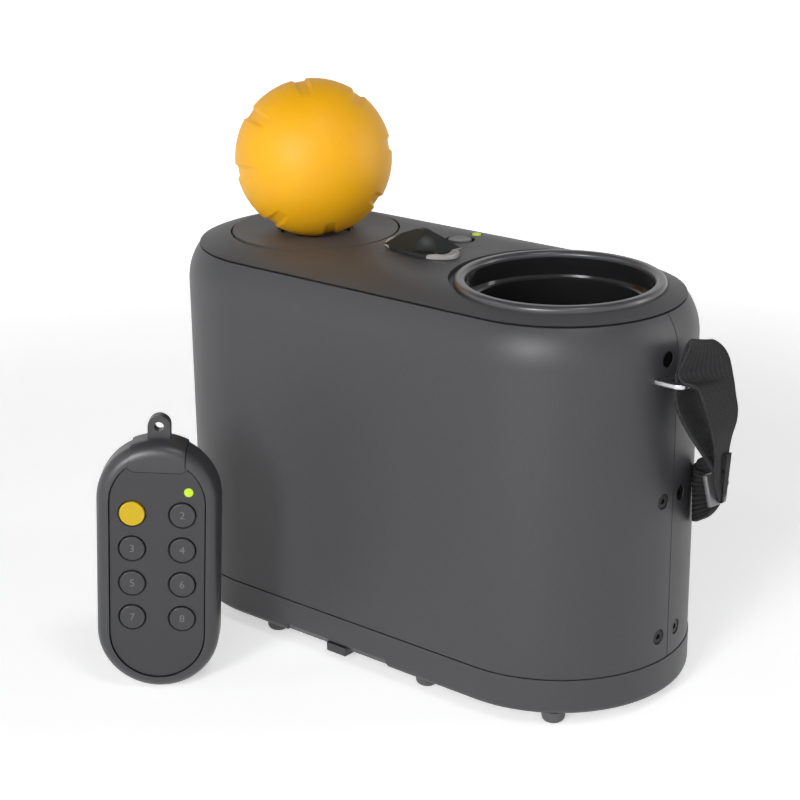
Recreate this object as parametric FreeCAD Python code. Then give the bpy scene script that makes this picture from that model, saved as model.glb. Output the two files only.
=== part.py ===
import FreeCAD, Part
import math
import os
from FreeCAD import Vector

# Automatic ball launcher for dogs, with its ball and its hand-held remote control.
# Millimetres. The origin is on the floor under the middle of the case. +X points at the end
# with the launch barrel and the carry strap, -Y is the front, +Z is up.

# ---------------------------------------------------------------- driving dimensions
# Clearances and cutting
FIT = 0.2               # clearance of parts that slide into each other at assembly
EASE = 0.3              # clearance of a loose recess
PIN_PLAY = 0.06         # radial play of every pin and shaft in its bore
SEAM_GAP = 0.4          # open width of every seam but the deck's
BITE = 0.5              # how far shapes run into each other where they are one piece
OVER = 1.0              # how far a cutting shape reaches past what it cuts

# Ball and barrel
BALL_R = 32.5
BALL_ROOM = 1.5         # air between the ball and the barrel
BARREL_T = 2.2
BARREL_FLANGE = 3.0     # width and thickness of the flange at the barrel's foot
BARREL_TOP_DROP = 9.5   # from the deck down to the step in the barrel's mouth
BARREL_RIM_T = 2.5      # thickness of that step
MOUTH_EDGE = 0.6        # chamfer of the barrel's mouth
MUZZLE_STEP = 2.3       # how far the barrel's wide mouth stands back from the bore
RING_LIP = 0.15         # how far the muzzle ring reaches in over the mouth's wall
RING_W = 4.65           # radial width of the muzzle ring
RING_RISE = 0.5         # how far the ring stands above the deck
RING_SEAT = 1.9         # depth of the ring's seat in the deck
RING_GROOVE = 2.0       # groove round the ring
RING_OUT_EDGE = 1.8     # rounding of the ring's outer edge
RING_IN_EDGE = 1.8      # rounding of the ring's inner edge

# Case: a stadium in plan, with round ends
END_X = 62.5            # from the middle to the axis of each round end
CASE_ROOM = 17.3        # from the barrel's outside to the outside of the round end
WALL = 2.6              # thickness of the shells
DECK_Z = 163.5          # top of the deck
DECK_T = 3.0            # thickness of the deck
DECK_SEAM_DROP = 4.7    # from the deck's top down to its seam
DECK_EDGE = 21.0        # width of the deck's crowned edge
DECK_SEAM_GAP = 0.8     # open width of the deck's seam
SHOULDER_RISE = 14.8    # height of the shells' shoulder curve
SHOULDER_IN = 5.1       # how far the shoulder curves in
FOOT_H = 5.0            # from the floor to the underside of the base
BASE_H = 15.0           # height of the base, up to its seam
BASE_PROUD = 0.3        # how far the base stands out past the shells
BASE_EDGE_R = 3.0       # rounding of the base's lower edge
FLOOR_T = 3.0           # thickness of the base's floor
TONGUE_T = 2.2          # thickness of the locating tongues
TONGUE_H = 6.0          # height of the locating tongues
RAIL_HALF_W = 16.0      # half width of the rail behind each end seam
RAIL_T = 6.0
RAIL_RISE = 4.0         # how far the rails reach above the shoulder's start

# Feet and fasteners
FOOT_R = 4.6
FOOT_FLAT_R = 2.4       # radius of the flat under each foot
FOOT_EDGE = 2.4         # height of the foot's rounded edge
FOOT_X = (-48.0, 33.0)  # feet under the straight sides
FOOT_IN = 8.3           # from the base's side to those feet
FOOT_END_ANGLE = 54.8   # direction of the feet under the round ends, from the end, degrees
FOOT_END_IN = 6.1       # from the base's end to those feet
STEM_IN = 1.6           # how much thinner a foot's stem is than the foot
STEM_H = 1.5
SCREW_HEAD_R = 2.7
SCREW_HEAD_H = 1.2
SCREW_R = 1.4
SCREW_L = 7.0
SOCKET_R = 1.1          # drive socket in a screw's head
RECESS_R = 3.1          # hole around a screw's head
RECESS_FLOOR = 1.0      # wall left under an end screw's head
END_SCREW_Y = 6.0       # sideways distance from the case's middle plane
END_SCREW_LOW = 10.4    # lowest end screws, above the base's seam
END_SCREW_TOP = 1.0     # highest end screws, below the shoulder's start
POST_R = 4.5            # posts that carry the chassis plate
POST_OUT, POST_Y = 32.5, 26.0   # the four corner posts, from the ends' axes
POST_INNER = ((-58.0, 15.5), (30.0, 17.5))  # x, and distance from the case's back
CHASSIS_T = 3.0
CHASSIS_GAP = 1.0       # air round the chassis plate

# Battery bay, door and latch
PACK_W, PACK_D, PACK_H = 47.0, 27.0, 57.0
PACK_X = -8.75
PACK_EDGE_R = 2.0
PACK_LIFT = 0.4         # air under the pack
BAY_WALL = 1.5
BAY_ROOM = 5.0          # room above the pack for its contacts
BAY_FLANGE = 10.0       # how far the bay's flange reaches past the door
BAY_FLANGE_T = 2.6
CONTACT_X, CONTACT_W, CONTACT_L = 12.0, 5.0, 8.0
DOOR_MARGIN = 2.75      # how much wider the door is than the pack, on each side
DOOR_BACK = 5.0         # how far the door reaches past the pack's back
DOOR_SLANT = 3.0        # how far the lip's ends spread downwards
DOOR_SLANT_H = 7.6      # over this height
DOOR_LIP_H = 3.6        # height of the lip above the base's underside
DOOR_GAP = 0.3
LIP_IN = 0.4            # how far the lip's face stands back at its top
LIP_SLOPE = 3.3         # and at its foot
HINGE_R = 1.8
HINGE_PIN_R = 0.8
KNUCKLE_L = 16.0        # length of the door's hinge knuckle
KNUCKLE_GAP = 0.4
HINGE_L = 40.0          # length of the hinge pin
LATCH_SIDE = 0.25       # the latch stands this far left of the door's middle
LATCH_W = 10.0
LATCH_L = 7.0
LATCH_IN = 0.8          # from the base's front to the latch tab
LATCH_DROP = 2.4        # how far the tab hangs below the base
LATCH_HEAD = 1.6        # how far the tab reaches up into the door
LATCH_TRAVEL = 2.2
LATCH_EDGE = 0.8
LATCH_NOSE_W = 5.0
LATCH_NOSE_H = 1.5
LATCH_NOSE_L = 1.4
LATCH_NOSE_UP = 1.2     # nose above the door's lip
LATCH_RISER_T = 1.2
LATCH_RISER_IN = 0.6    # from the base's inner face to the riser

# Launch cup and spring
CUP_REST_H = 77.0       # rim of the cup above the chassis plate, at rest
CUP_H = 18.0
CUP_PLAY = 0.4
CUP_WALL = 2.0
CUP_WEB_T = 3.0
CUP_DISH = 2.4          # rise of the cup's dished floor at half its slope
CUP_STROKE = 45.0
PAD_R, PAD_T = 12.0, 1.6
EAR_HALF_W = 4.0        # arm that joins the cup to its rack
EAR_H = 12.0
SLOT_OVER = 2.0         # spare length of the barrel's slot
SEAT_T = 3.0
SEAT_HOLE_R = 8.0
SEAT_RIB_H, SEAT_RIB_T, SEAT_RIB_GAP = 3.0, 2.4, 0.6
SPRING_R = 24.0
SPRING_WIRE_R = 1.1
SPRING_TURNS = 6
SENSOR_W, SENSOR_H, SENSOR_OUT = 10.0, 10.0, 6.0
SENSOR_UP = 12.0        # sensors above the cup's rim

# Drive: motor pinion, reduction gear, sector gear, rack
PRESSURE = math.radians(20)
RACK_MODULE, SECTOR_TEETH = 1.25, 26
SECTOR_CUT_TEETH = 15   # teeth that are there, the rest is blank
DRIVE_MODULE, DRIVE_TEETH, SMALL_TEETH = 1.0, 40, 14
MOTOR_MODULE, LARGE_TEETH, PINION_TEETH = 0.8, 48, 12
TOOTH_SHIFT = 0.3       # profile shift of each small gear, taken from its partner
BACKLASH = 0.16
ADDENDUM, DEDENDUM = 0.9, 1.25   # tooth above and below the pitch line, in modules
BLANK_DROP = 1.4        # the sector's blank part below its pitch circle, in modules
FLANK_STEPS = 4
REDUCTION_ANGLE = 190.0  # direction from the sector gear to the reduction gear, degrees
MOTOR_ANGLE = 235.0     # direction from the reduction gear to the motor, degrees
GEAR_T = 6.0
LARGE_T = 5.0
PINION_OVER = 0.4       # how much wider each pinion is than its partner, on each side
HUB_R = 6.0
RACK_T = 5.0
SECTOR_SIDE = 0.3       # how much narrower the sector gear is than the rack, on each side
SHAFT_R = 3.0
REDUCTION_SHAFT_R = 2.5
SHAFT_STUB = 0.8        # how far a shaft's end stands out
MOTOR_R = 14.0
MOTOR_L = 40.0
MOTOR_EDGE = 1.5
MOTOR_SHAFT_R = 1.5
MOTOR_SHAFT_IN = 8.0    # how deep the shaft runs in the motor
MOTOR_BOSS_R = 4.0
MOTOR_TAIL_R, MOTOR_TAIL_L = 5.0, 2.5
MOTOR_LIFT = 0.65       # air under the motor
TAB_X, TAB_Z, TAB_W, TAB_T, TAB_L = 7.0, 6.0, 3.0, 0.8, 4.0
PLATE_T = 2.0
PLATE_FRONT_Y = -8.0    # front face of the front gearbox plate
PLATE_BACK_Y = 14.0     # front face of the rear gearbox plate
PLATE_RISE = 28.0       # top of the plates above the reduction gear
PLATE_CORNER = 14.0
PLATE_MARGIN = 4.5
LARGE_AHEAD = 6.0       # from the front plate forward to the large gear's face
DRIVE_Y = 6.0           # front face of the drive gear
BUSH_R = 4.6
STANDOFF_R = 3.0
STANDOFF_LIFT = 6.0     # lower standoffs above the chassis plate
STANDOFF_UP = (20.0, 23.0)      # upper standoffs above the reduction gear
STANDOFF_OUT = (5.0, 9.0, 7.0)  # sideways from the reduction gear, the middle, the sector gear
GEAR_ROOM = 2.0         # between the battery bay and the outer gear's shaft

# Deck controls
CONTROL_X = -2.4        # button and light stand in one row
KNOB_X, KNOB_Y = -4.0, -1.2
KNOB_HALF_L, KNOB_HALF_W = 19.0, 9.8    # half length and width of the knob's oval base
KNOB_LIFT = 0.3         # air between the knob and the deck
KNOB_BASE_T = 1.7
KNOB_EDGE = 0.7
KNOB_DIP, KNOB_DIP_R, KNOB_DIP_X = 0.8, 12.0, 13.2      # shallow dips in the base's ends
KNOB_RISE = 9.2         # top of the knob's wing above the deck
KNOB_WING_L = 13.0      # half length of the wing at its foot
KNOB_FLANK, KNOB_FLANK_RISE = 8.2, 4.4      # half length part of the way up, above the base
KNOB_TOP_HALF, KNOB_TOP_DROP = 3.6, 1.0     # half length and drop of the wing's round top
KNOB_FOOT_HALF, KNOB_RIDGE_HALF = 9.0, 1.5  # half width of the wing at its foot and ridge
KNOB_WAIST, KNOB_WAIST_RISE = 4.8, 3.4      # half width part of the way up, above the base
KNOB_SCOOP_R = 7.6      # round hollows in the wing's sides
KNOB_SCOOP_AT = (9.0, -8.8, 5.4)        # middle of the front one, from the wing's foot
KNOB_SHAFT_R = 3.0
KNOB_TURN = -8.0
BUTTON_Y, BUTTON_R, BUTTON_TRAVEL, BUTTON_RISE = 21.3, 4.8, 1.2, 0.5
BUTTON_GROOVE, BUTTON_SEAT = 1.5, 1.8   # width and depth of the groove round the button
BUTTON_EDGE = 0.5
LIGHT_R, LIGHT_RISE = 1.9, 0.3
LIGHT_RIM, LIGHT_SEAT = 0.7, 0.6        # width and depth of the groove round the light
LIGHT_SPACE = 4.5       # between the button and the light
GUIDE_WALL, GUIDE_H = 2.0, 3.0
BEARING_WALL, BEARING_H = 2.5, 4.0
SWITCH_DROP = 11.0      # switch board's top below the deck's underside
SWITCH_POST_X, SWITCH_POST_R = 12.0, 2.6
SWITCH_POST_Y = (6.5, 1.5)  # posts ahead of the knob's axis and behind the light's
SWITCH_MARGIN, SWITCH_T = 4.0, 1.6
SWITCH_H, SWITCH_HALF = 3.4, 3.0        # push switch under the button
ROTARY_H, ROTARY_HALF, ROTARY_FLOOR = 5.0, 7.0, 1.5
STEM_HALF = 1.5

# Ball rest and the ball
REST_OVER = 2.1         # how much larger the rest's disc is than the ball
REST_GROOVE = 0.9
REST_T = 2.2            # thickness of the disc's rim
REST_BODY_IN, REST_BODY_T = 6.0, 5.5
DISH_R, DISH_DEPTH = 15.8, 0.8      # shallow round step in the disc
DISH_EDGE = 0.4
PIT_R, PIT_DEPTH = 14.6, 2.4        # deeper round floor inside the step
BALL_DIP = 2.5          # how far the ball sinks below the deck's plane
BALL_SEAT_GAP = 0.02
BOWL_OVER = 3.5         # how much larger the bowl under the ball is than the ball
BALL_AXIS = (-36.0, 11.0)   # azimuth and elevation of the ball's axis, degrees
BALL_SLOTS = 8
SLOT_L, SLOT_W, SLOT_DEPTH, SLOT_EDGE = 11.0, 5.5, 1.4, 1.0

# Electronics
BOARD_OUT = 21.5        # control board, outwards from the rest's axis
BOARD_HALF_W, BOARD_T = 30.0, 1.6
BOARD_LIFT = 10.0       # board above the chassis plate
BOARD_TOP_DROP = 16.0   # board's top below the shoulder's start
BOARD_POST_T, BOARD_POST_Y, BOARD_POST_W, BOARD_POST_H = 6.0, 22.0, 8.0, 22.0
CHIP_T = 2.6
CHIPS = ((-12.0, 16.0, 37.0, 16.0), (8.0, 14.0, 65.0, 8.0),
         (-24.0, 9.0, 63.0, 14.0), (10.0, 14.0, 17.0, 12.0))    # y, width, up, height
ANTENNA_Y, ANTENNA_R, ANTENNA_COIL_R = 20.0, 0.8, 2.4
ANTENNA_L, ANTENNA_COIL_L, ANTENNA_SEAT = 28.0, 20.0, 8.0

# Carry strap, its ring and its slider, at the barrel end
STRAP_W = 21.0
STRAP_T = 1.8
STRAP_STEPS = 3         # points on each side for each point of the route
RING_PLATE_T = 2.0
RING_BAR = 2.3
RING_SIDE = 0.4         # room beside the strap in a ring's slot
RING_CORNER, RING_EDGE = 4.0, 0.6
RING_IN = 8.0           # how far the ring reaches into the case's rail
RING_DROP = 8.2         # ring below the shoulder's start
RING_REACH = 10.5       # how far it stands out of the case
RING_SLOT_L = 4.6       # length of its slot
# Middle line of the strap's loop, outwards and upwards from the middle of the ring's slot
STRAP_FOLD = ((-0.9, 0.2), (0.0, 6.7), (2.5, 12.3), (5.9, 14.4), (8.9, 11.4), (10.3, 5.2), (11.3, 0.0))
STRAP_OUTER = ((13.7, -6.8), (15.3, -14.3), (15.6, -21.8), (14.9, -29.3), (14.7, -36.3), (15.3, -42.8))
STRAP_LOBE = ((15.1, -49.2), (11.9, -53.9), (6.9, -56.2), (1.9, -55.2), (1.3, -51.6), (5.6, -50.3))
STRAP_INNER = ((10.2, -50.2), (12.7, -47.6), (12.4, -42.1), (10.8, -36.6), (8.4, -30.6),
               (5.3, -23.5), (2.2, -15.6), (-0.5, -8.3))
GATHER_TOP, GATHER_END = -11.8, -31.8   # heights between which the strap's front edge draws in
GATHER_Y = 0.6          # front edge of the strap below that
TAIL_OUT, TAIL_Z = 14.8, (-48.0, -29.3)     # free end beside the outer run
SLIDER_AT = (10.4, -42.7)       # middle of the slider's plate
SLIDER_TILT = 16.0      # degrees from upright
SLIDER_L, SLIDER_T = 11.5, 2.2
SLIDER_OVER = 1.9       # how much wider the slider is than the gathered strap, on each side
SLIDER_EDGE = 0.8
RIVET_R, RIVET_HEAD_R, RIVET_HEAD_T = 0.9, 1.5, 0.5
RIVET_SHARE = 0.25      # rivets' places across the gathered strap

# Remote control, standing on its end in front of the case
REMOTE_X, REMOTE_Y, REMOTE_TURN = -52.8, -109.3, 39.2
REMOTE_LEAN = 2.9       # degrees that it leans to its own right
REMOTE_W, REMOTE_H, REMOTE_T = 48.3, 104.0, 17.0
REMOTE_EDGE_R = 5.0
REMOTE_WALL = 1.8
REMOTE_HOLLOW_IN = 2.2  # extra wall at the rounded edge
REMOTE_SPLIT_Y = 1.5    # seam between the remote's bezel and rear shell
FACE_INSET = 5.2        # from the remote's outline to its face panel
FACE_TOP_DROP = 11.0    # from the remote's top down to the panel's straight edge
FACE_DROP = 0.5         # panel behind the bezel's face
FACE_GAP = 0.35
FACE_SEAT = 1.6         # depth of the panel's seat
FACE_EDGE = 0.4
KEY_R, KEY_PITCH_U, KEY_PITCH_W = 5.0, 19.6, 14.7
KEY_TOP_DROP = 17.7     # first row of keys below the panel's top edge
KEY_ROWS = 4
KEY_GAP, KEY_TRAVEL, KEY_RISE = 0.4, 0.8, 0.3
KEY_HOLE_EDGE = 0.35    # chamfer round each key's hole
KEY_EDGE, KEY_L = 0.5, 2.2
LAMP_U, LAMP_DROP, LAMP_R, LAMP_RISE = 12.2, 7.9, 1.8, 0.2
CAP_W, CAP_PROUD = 21.4, 0.8
SILL_H, SILL_HALF, SILL_SLOPE = 1.9, 9.3, 1.6   # sill between panel and cap: the ends slope out
LOOP_RISE = 5.5         # middle of the lanyard loop above the remote's top
LOOP_R, LOOP_HOLE_R, LOOP_T = 4.4, 1.9, 4.4
REMOTE_BOARD_T, REMOTE_BOARD_IN, REMOTE_BOARD_DROP = 1.2, 3.0, 4.0
DOME_R, DOME_H, DOME_GAP = 3.0, 0.6, 0.1
CELL_R, CELL_T, CELL_W = 10.0, 3.2, 45.0

# ---------------------------------------------------------------- derived places
BORE_R = BALL_R + BALL_ROOM
BARREL_OUT_R = BORE_R + BARREL_T
MUZZLE_R = BORE_R + MUZZLE_STEP
MUZZLE_SKIRT_R = MUZZLE_R + BARREL_T
RING_IN_R = MUZZLE_R - RING_LIP
RING_R = RING_IN_R + RING_W
CASE_R = BARREL_OUT_R + CASE_ROOM
BASE_R = CASE_R + BASE_PROUD
SHELL_IN_R = CASE_R - WALL
BASE_IN_R = BASE_R - WALL
WALL_X = END_X + CASE_R
BASE_Z = FOOT_H
BASE_SEAM_Z = BASE_Z + BASE_H
FLOOR_TOP = BASE_Z + FLOOR_T
BASE_TOP_Z = BASE_SEAM_Z - SEAM_GAP / 2
SHELL_BOTTOM_Z = BASE_SEAM_Z + SEAM_GAP / 2
DECK_SEAM_Z = DECK_Z - DECK_SEAM_DROP
DECK_SEAM_R = CASE_R - SHOULDER_IN
SHELL_TOP_Z = DECK_SEAM_Z - DECK_SEAM_GAP / 2
DECK_RIM_Z = DECK_SEAM_Z + DECK_SEAM_GAP / 2
DECK_UNDER_Z = DECK_Z - DECK_T
SHOULDER_Z = DECK_SEAM_Z - SHOULDER_RISE
BASE_TONGUE_R = SHELL_IN_R - FIT
BASE_SCREW_Z = BASE_Z + 2 * FIT
END_SCREW_Z = (BASE_SEAM_Z + END_SCREW_LOW,
               (BASE_SEAM_Z + END_SCREW_LOW + SHOULDER_Z - END_SCREW_TOP) / 2,
               SHOULDER_Z - END_SCREW_TOP)
SCREW_SEAT_R = CASE_R - WALL + RECESS_FLOOR
CHASSIS_Z = BASE_SEAM_Z
CHASSIS_TOP = CHASSIS_Z + CHASSIS_T
BARREL_FOOT_Z = CHASSIS_TOP
BARREL_TOP_Z = DECK_Z - BARREL_TOP_DROP
RING_SEAT_Z = DECK_Z - RING_SEAT
SEAT_TOP_Z = BARREL_FOOT_Z + SEAT_T
CUP_R = BORE_R - CUP_PLAY
CUP_RIM_Z = CHASSIS_TOP + CUP_REST_H
CUP_BOTTOM_Z = CUP_RIM_Z - CUP_H
CUP_WEB_Z = CUP_RIM_Z - CUP_H / 2 - CUP_WEB_T
CUP_FLOOR_Z = CUP_WEB_Z + CUP_WEB_T
EAR_Z = CUP_BOTTOM_Z + (CUP_H - EAR_H) / 2
SLOT_HALF_W = EAR_HALF_W + EASE
RACK_BACK_X = END_X - math.sqrt(BARREL_OUT_R ** 2 - SLOT_HALF_W ** 2) - 2 * EASE
RACK_PITCH_X = RACK_BACK_X - RACK_T - 1.25 * RACK_MODULE
SECTOR_PITCH_R = RACK_MODULE * SECTOR_TEETH / 2
DRIVE_REACH = DRIVE_MODULE * (DRIVE_TEETH + SMALL_TEETH) / 2
MOTOR_REACH = MOTOR_MODULE * (LARGE_TEETH + PINION_TEETH) / 2
REDUCTION_DIR, MOTOR_DIR = math.radians(REDUCTION_ANGLE), math.radians(MOTOR_ANGLE)
MOTOR_Z = CHASSIS_TOP + MOTOR_LIFT + MOTOR_R
REDUCTION_Z = MOTOR_Z - MOTOR_REACH * math.sin(MOTOR_DIR)
SECTOR_Z = REDUCTION_Z - DRIVE_REACH * math.sin(REDUCTION_DIR)
SECTOR_X = RACK_PITCH_X - SECTOR_PITCH_R
REDUCTION_X = SECTOR_X + DRIVE_REACH * math.cos(REDUCTION_DIR)
MOTOR_X = REDUCTION_X + MOTOR_REACH * math.cos(MOTOR_DIR)
PLATE_FRONT_BACK = PLATE_FRONT_Y + PLATE_T
LARGE_Y = PLATE_FRONT_Y - LARGE_AHEAD
PACK_BACK_Y = LARGE_Y - SHAFT_STUB - GEAR_ROOM - BAY_WALL - FIT
PACK_Y = PACK_BACK_Y - PACK_D / 2
PACK_Z = FLOOR_TOP + PACK_LIFT
BAY_TOP_Z = FLOOR_TOP + PACK_H + BAY_ROOM
DOOR_X = (PACK_X - PACK_W / 2 - DOOR_MARGIN, PACK_X + PACK_W / 2 + DOOR_MARGIN)
DOOR_BACK_Y = PACK_BACK_Y + DOOR_BACK
DOOR_LIP_Z = BASE_Z + DOOR_LIP_H
HINGE_Y = DOOR_BACK_Y + DOOR_GAP / 2
LATCH_X = PACK_X - LATCH_SIDE
LATCH_FRONT_Y = -BASE_R + LATCH_IN
LATCH_BACK_Y = LATCH_FRONT_Y + LATCH_L
LATCH_TOP_Z = BASE_Z + LATCH_HEAD
LATCH_NOSE_Z = DOOR_LIP_Z + LATCH_NOSE_UP
LATCH_RISER_Y = -BASE_IN_R + LATCH_RISER_IN
LIGHT_Y = BUTTON_Y + BUTTON_R + LIGHT_SPACE + LIGHT_R
SWITCH_TOP_Z = DECK_UNDER_Z - SWITCH_DROP
BUTTON_BOTTOM_Z = SWITCH_TOP_Z + SWITCH_H + BUTTON_TRAVEL + FIT
LIGHT_BOTTOM_Z = DECK_UNDER_Z - OVER
SWITCH_POST_YS = (KNOB_Y - SWITCH_POST_Y[0], LIGHT_Y + SWITCH_POST_Y[1])
REST_R = BALL_R + REST_OVER
REST_BODY_R = REST_R - REST_BODY_IN
REST_UNDER_Z = DECK_Z - REST_T
BALL_Z = DECK_Z - BALL_DIP + BALL_R
BOARD_X = -END_X - BOARD_OUT
BOARD_Z = (CHASSIS_TOP + BOARD_LIFT, SHOULDER_Z - BOARD_TOP_DROP)
RING_SLOT_Z = SHOULDER_Z - RING_DROP
RING_SLOT_X = WALL_X + RING_REACH - RING_BAR - RING_SLOT_L / 2
FACE_TOP_W = REMOTE_H - FACE_TOP_DROP
FACE_Y = -REMOTE_T / 2 + FACE_SEAT
FACE_BACK_Y = FACE_Y + FACE_SEAT
KEY_FIRST_W = FACE_TOP_W - KEY_TOP_DROP
KEY_BACK_Y = FACE_Y + KEY_L
LOOP_W = REMOTE_H + LOOP_RISE
REMOTE_BOARD_Y = KEY_BACK_Y + KEY_TRAVEL + DOME_GAP + DOME_H


# ---------------------------------------------------------------- shape helpers
def in_xz(x, z):
    return Vector(x, 0, z)


def outline(points):
    """Closed wire through (x, z) points; an item ("arc", middle, end) bends through middle to end."""
    edges, here = [], points[0]
    for item in list(points[1:]) + [points[0]]:
        if item[0] == "arc":
            edges.append(Part.Arc(in_xz(*here), in_xz(*item[1]), in_xz(*item[2])).toShape())
            here = item[2]
        elif math.dist(here, item) > 1e-6:
            edges.append(Part.LineSegment(in_xz(*here), in_xz(*item)).toShape())
            here = item
    return Part.Wire(edges)


def fuse(*shapes):
    whole = shapes[0] if len(shapes) == 1 else shapes[0].multiFuse(list(shapes[1:]))
    return whole.removeSplitter()


def cut(shape, *tools):
    for tool in tools:
        shape = shape.cut(tool)
    return shape


def box(x0, x1, y0, y1, z0, z1):
    return Part.makeBox(x1 - x0, y1 - y0, z1 - z0, Vector(x0, y0, z0))


def block(x, half_x, y, half_y, z0, z1):
    """Box round the middle (x, y)."""
    return box(x - half_x, x + half_x, y - half_y, y + half_y, z0, z1)


def upright(radius, z0, z1, x=0.0, y=0.0):
    return Part.makeCylinder(radius, z1 - z0, Vector(x, y, z0))


def crosswise(radius, y0, y1, x, z):
    return Part.makeCylinder(radius, y1 - y0, Vector(x, y0, z), Vector(0, 1, 0))


def sheet(points, y0, y1):
    """Solid between y0 and y1 with an outline of (x, z) points."""
    return Part.Face(outline(points)).translated(Vector(0, y0, 0)).extrude(Vector(0, y1 - y0, 0))


def turned(points, x=0.0, y=0.0):
    """Solid of revolution about the upright line at (x, y) from (radius, z) points."""
    solid = Part.Face(outline(points)).revolve(Vector(), Vector(0, 0, 1), 360)
    return solid.translated(Vector(x, y, 0))


def stadium(points, front_only=False):
    """Sweep an (offset, z) section round the case's plan, or round its front half only."""
    face = Part.Face(outline(points))
    face.rotate(Vector(), Vector(0, 0, 1), -90)
    right = face.translated(Vector(END_X, 0, 0))
    left = face.translated(Vector(-END_X, 0, 0))
    z_axis = Vector(0, 0, 1)
    half = fuse(right.revolve(Vector(END_X, 0, 0), z_axis, 90),
                left.revolve(Vector(-END_X, 0, 0), z_axis, -90),
                left.extrude(Vector(2 * END_X, 0, 0)))
    if front_only:
        return half
    return fuse(half, mirrored(half))


def mirrored(shape):
    return shape.mirror(Vector(), Vector(0, 1, 0))


def slab(radius, z0, z1):
    return stadium([(0, z0), (radius, z0), (radius, z1), (0, z1)])


def polar(shape, angle, x=0.0, y=0.0):
    """Turn a shape about the upright line at (x, y)."""
    return shape.rotated(Vector(x, y, 0), Vector(0, 0, 1), angle)


def edges_along(shape, axis):
    return [e for e in shape.Edges if abs(e.tangentAt(e.FirstParameter).dot(axis)) > 0.9]


def save(name, *solids):
    shape = solids[0] if len(solids) == 1 else Part.makeCompound(list(solids))
    shape.exportStep(os.path.join("parts", name + ".step"))


# ---------------------------------------------------------------- case
def shoulder(offset):
    """Start, middle and end of the shells' shoulder curve, moved inwards by offset."""
    rise = SHELL_TOP_Z - SHOULDER_Z
    radius = (SHOULDER_IN ** 2 + rise ** 2) / (2 * SHOULDER_IN)
    centre, inner = CASE_R - radius, radius - offset
    last = math.asin(rise / inner)
    return [(centre + inner * math.cos(a), SHOULDER_Z + inner * math.sin(a))
            for a in (0.0, last / 2, last)]


def end_screw_places():
    """(side, angle, z) of each end screw; the angle is about the end's axis."""
    angle = math.degrees(math.asin(END_SCREW_Y / CASE_R))
    return [(side, sign * angle, z) for side in (1, -1) for sign in (1, -1) for z in END_SCREW_Z]


def radial(radius, r0, r1, side, angle, z):
    """Cylinder along a radius of one end, from radius r0 to r1."""
    rod = Part.makeCylinder(radius, r1 - r0, Vector(r0, 0, z), Vector(1, 0, 0))
    rod = polar(rod, angle if side > 0 else 180 + angle)
    return rod.translated(Vector(side * END_X, 0, 0))


def ring_slit():
    """Slit in the barrel end's wall for the strap ring."""
    return ring_plate(FIT / 2).translated(Vector(0, 0, RING_SLOT_Z))


def make_shells():
    o0, o1, o2 = shoulder(0.0)
    i0, i1, i2 = shoulder(WALL)
    wall = [(CASE_R, SHELL_BOTTOM_Z), o0, ("arc", o1, o2), i2, ("arc", i1, i0),
            (SHELL_IN_R, SHELL_BOTTOM_Z)]
    front = stadium(wall, front_only=True)
    front = front.cut(box(-2 * WALL_X, 2 * WALL_X, -SEAM_GAP / 2, CASE_R, 0, DECK_Z))
    tools = [ring_slit()]
    for place in end_screw_places():
        tools.append(radial(SCREW_R + FIT, SHELL_IN_R - OVER, CASE_R, *place))
        tools.append(radial(RECESS_R, SCREW_SEAT_R, CASE_R + OVER, *place))
    save("front_shell", cut(front, *tools))
    save("rear_shell", cut(mirrored(front), *tools))


def make_rails():
    """Upright rails behind the end seams, which both shells are screwed to."""
    bottom, top = BASE_SEAM_Z + TONGUE_H, SHOULDER_Z + RAIL_RISE
    _, middle, end = shoulder(WALL)
    room = stadium([(0, 0), (SHELL_IN_R, 0), (SHELL_IN_R, SHOULDER_Z), ("arc", middle, end),
                    (0, SHELL_TOP_Z)])
    rails = []
    for side in (1, -1):
        ring = turned([(SHELL_IN_R - RAIL_T, bottom), (SHELL_IN_R, bottom), (SHELL_IN_R, top),
                       (SHELL_IN_R - RAIL_T, top)], side * END_X)
        x0, x1 = sorted((side * END_X, side * (WALL_X + OVER)))
        rail = ring.common(box(x0, x1, -RAIL_HALF_W, RAIL_HALF_W, 0, DECK_Z)).common(room)
        for place in end_screw_places():
            rail = rail.cut(radial(SCREW_R, SHELL_IN_R - RAIL_T - OVER, CASE_R, *place))
        rails.append(rail)
    rails[0] = rails[0].cut(ring_slit())
    save("shell_rails", *rails)


def make_end_screws():
    screws = []
    for place in end_screw_places():
        head = radial(SCREW_HEAD_R, SCREW_SEAT_R, SCREW_SEAT_R + SCREW_HEAD_H, *place)
        shank = radial(SCREW_R, SCREW_SEAT_R - SCREW_L, SCREW_SEAT_R, *place)
        socket = radial(SOCKET_R, SCREW_SEAT_R + SCREW_HEAD_H / 2, CASE_R, *place)
        screws.append(fuse(head, shank).cut(socket))
    save("end_screws", *screws)


def deck_boss(x, y, radius, bottom):
    return upright(radius, bottom, DECK_UNDER_Z + BITE, x, y)


def through_deck(radius, x, y=0.0):
    return upright(radius, DECK_UNDER_Z - 2 * BEARING_H, DECK_Z + OVER, x, y)


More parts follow.
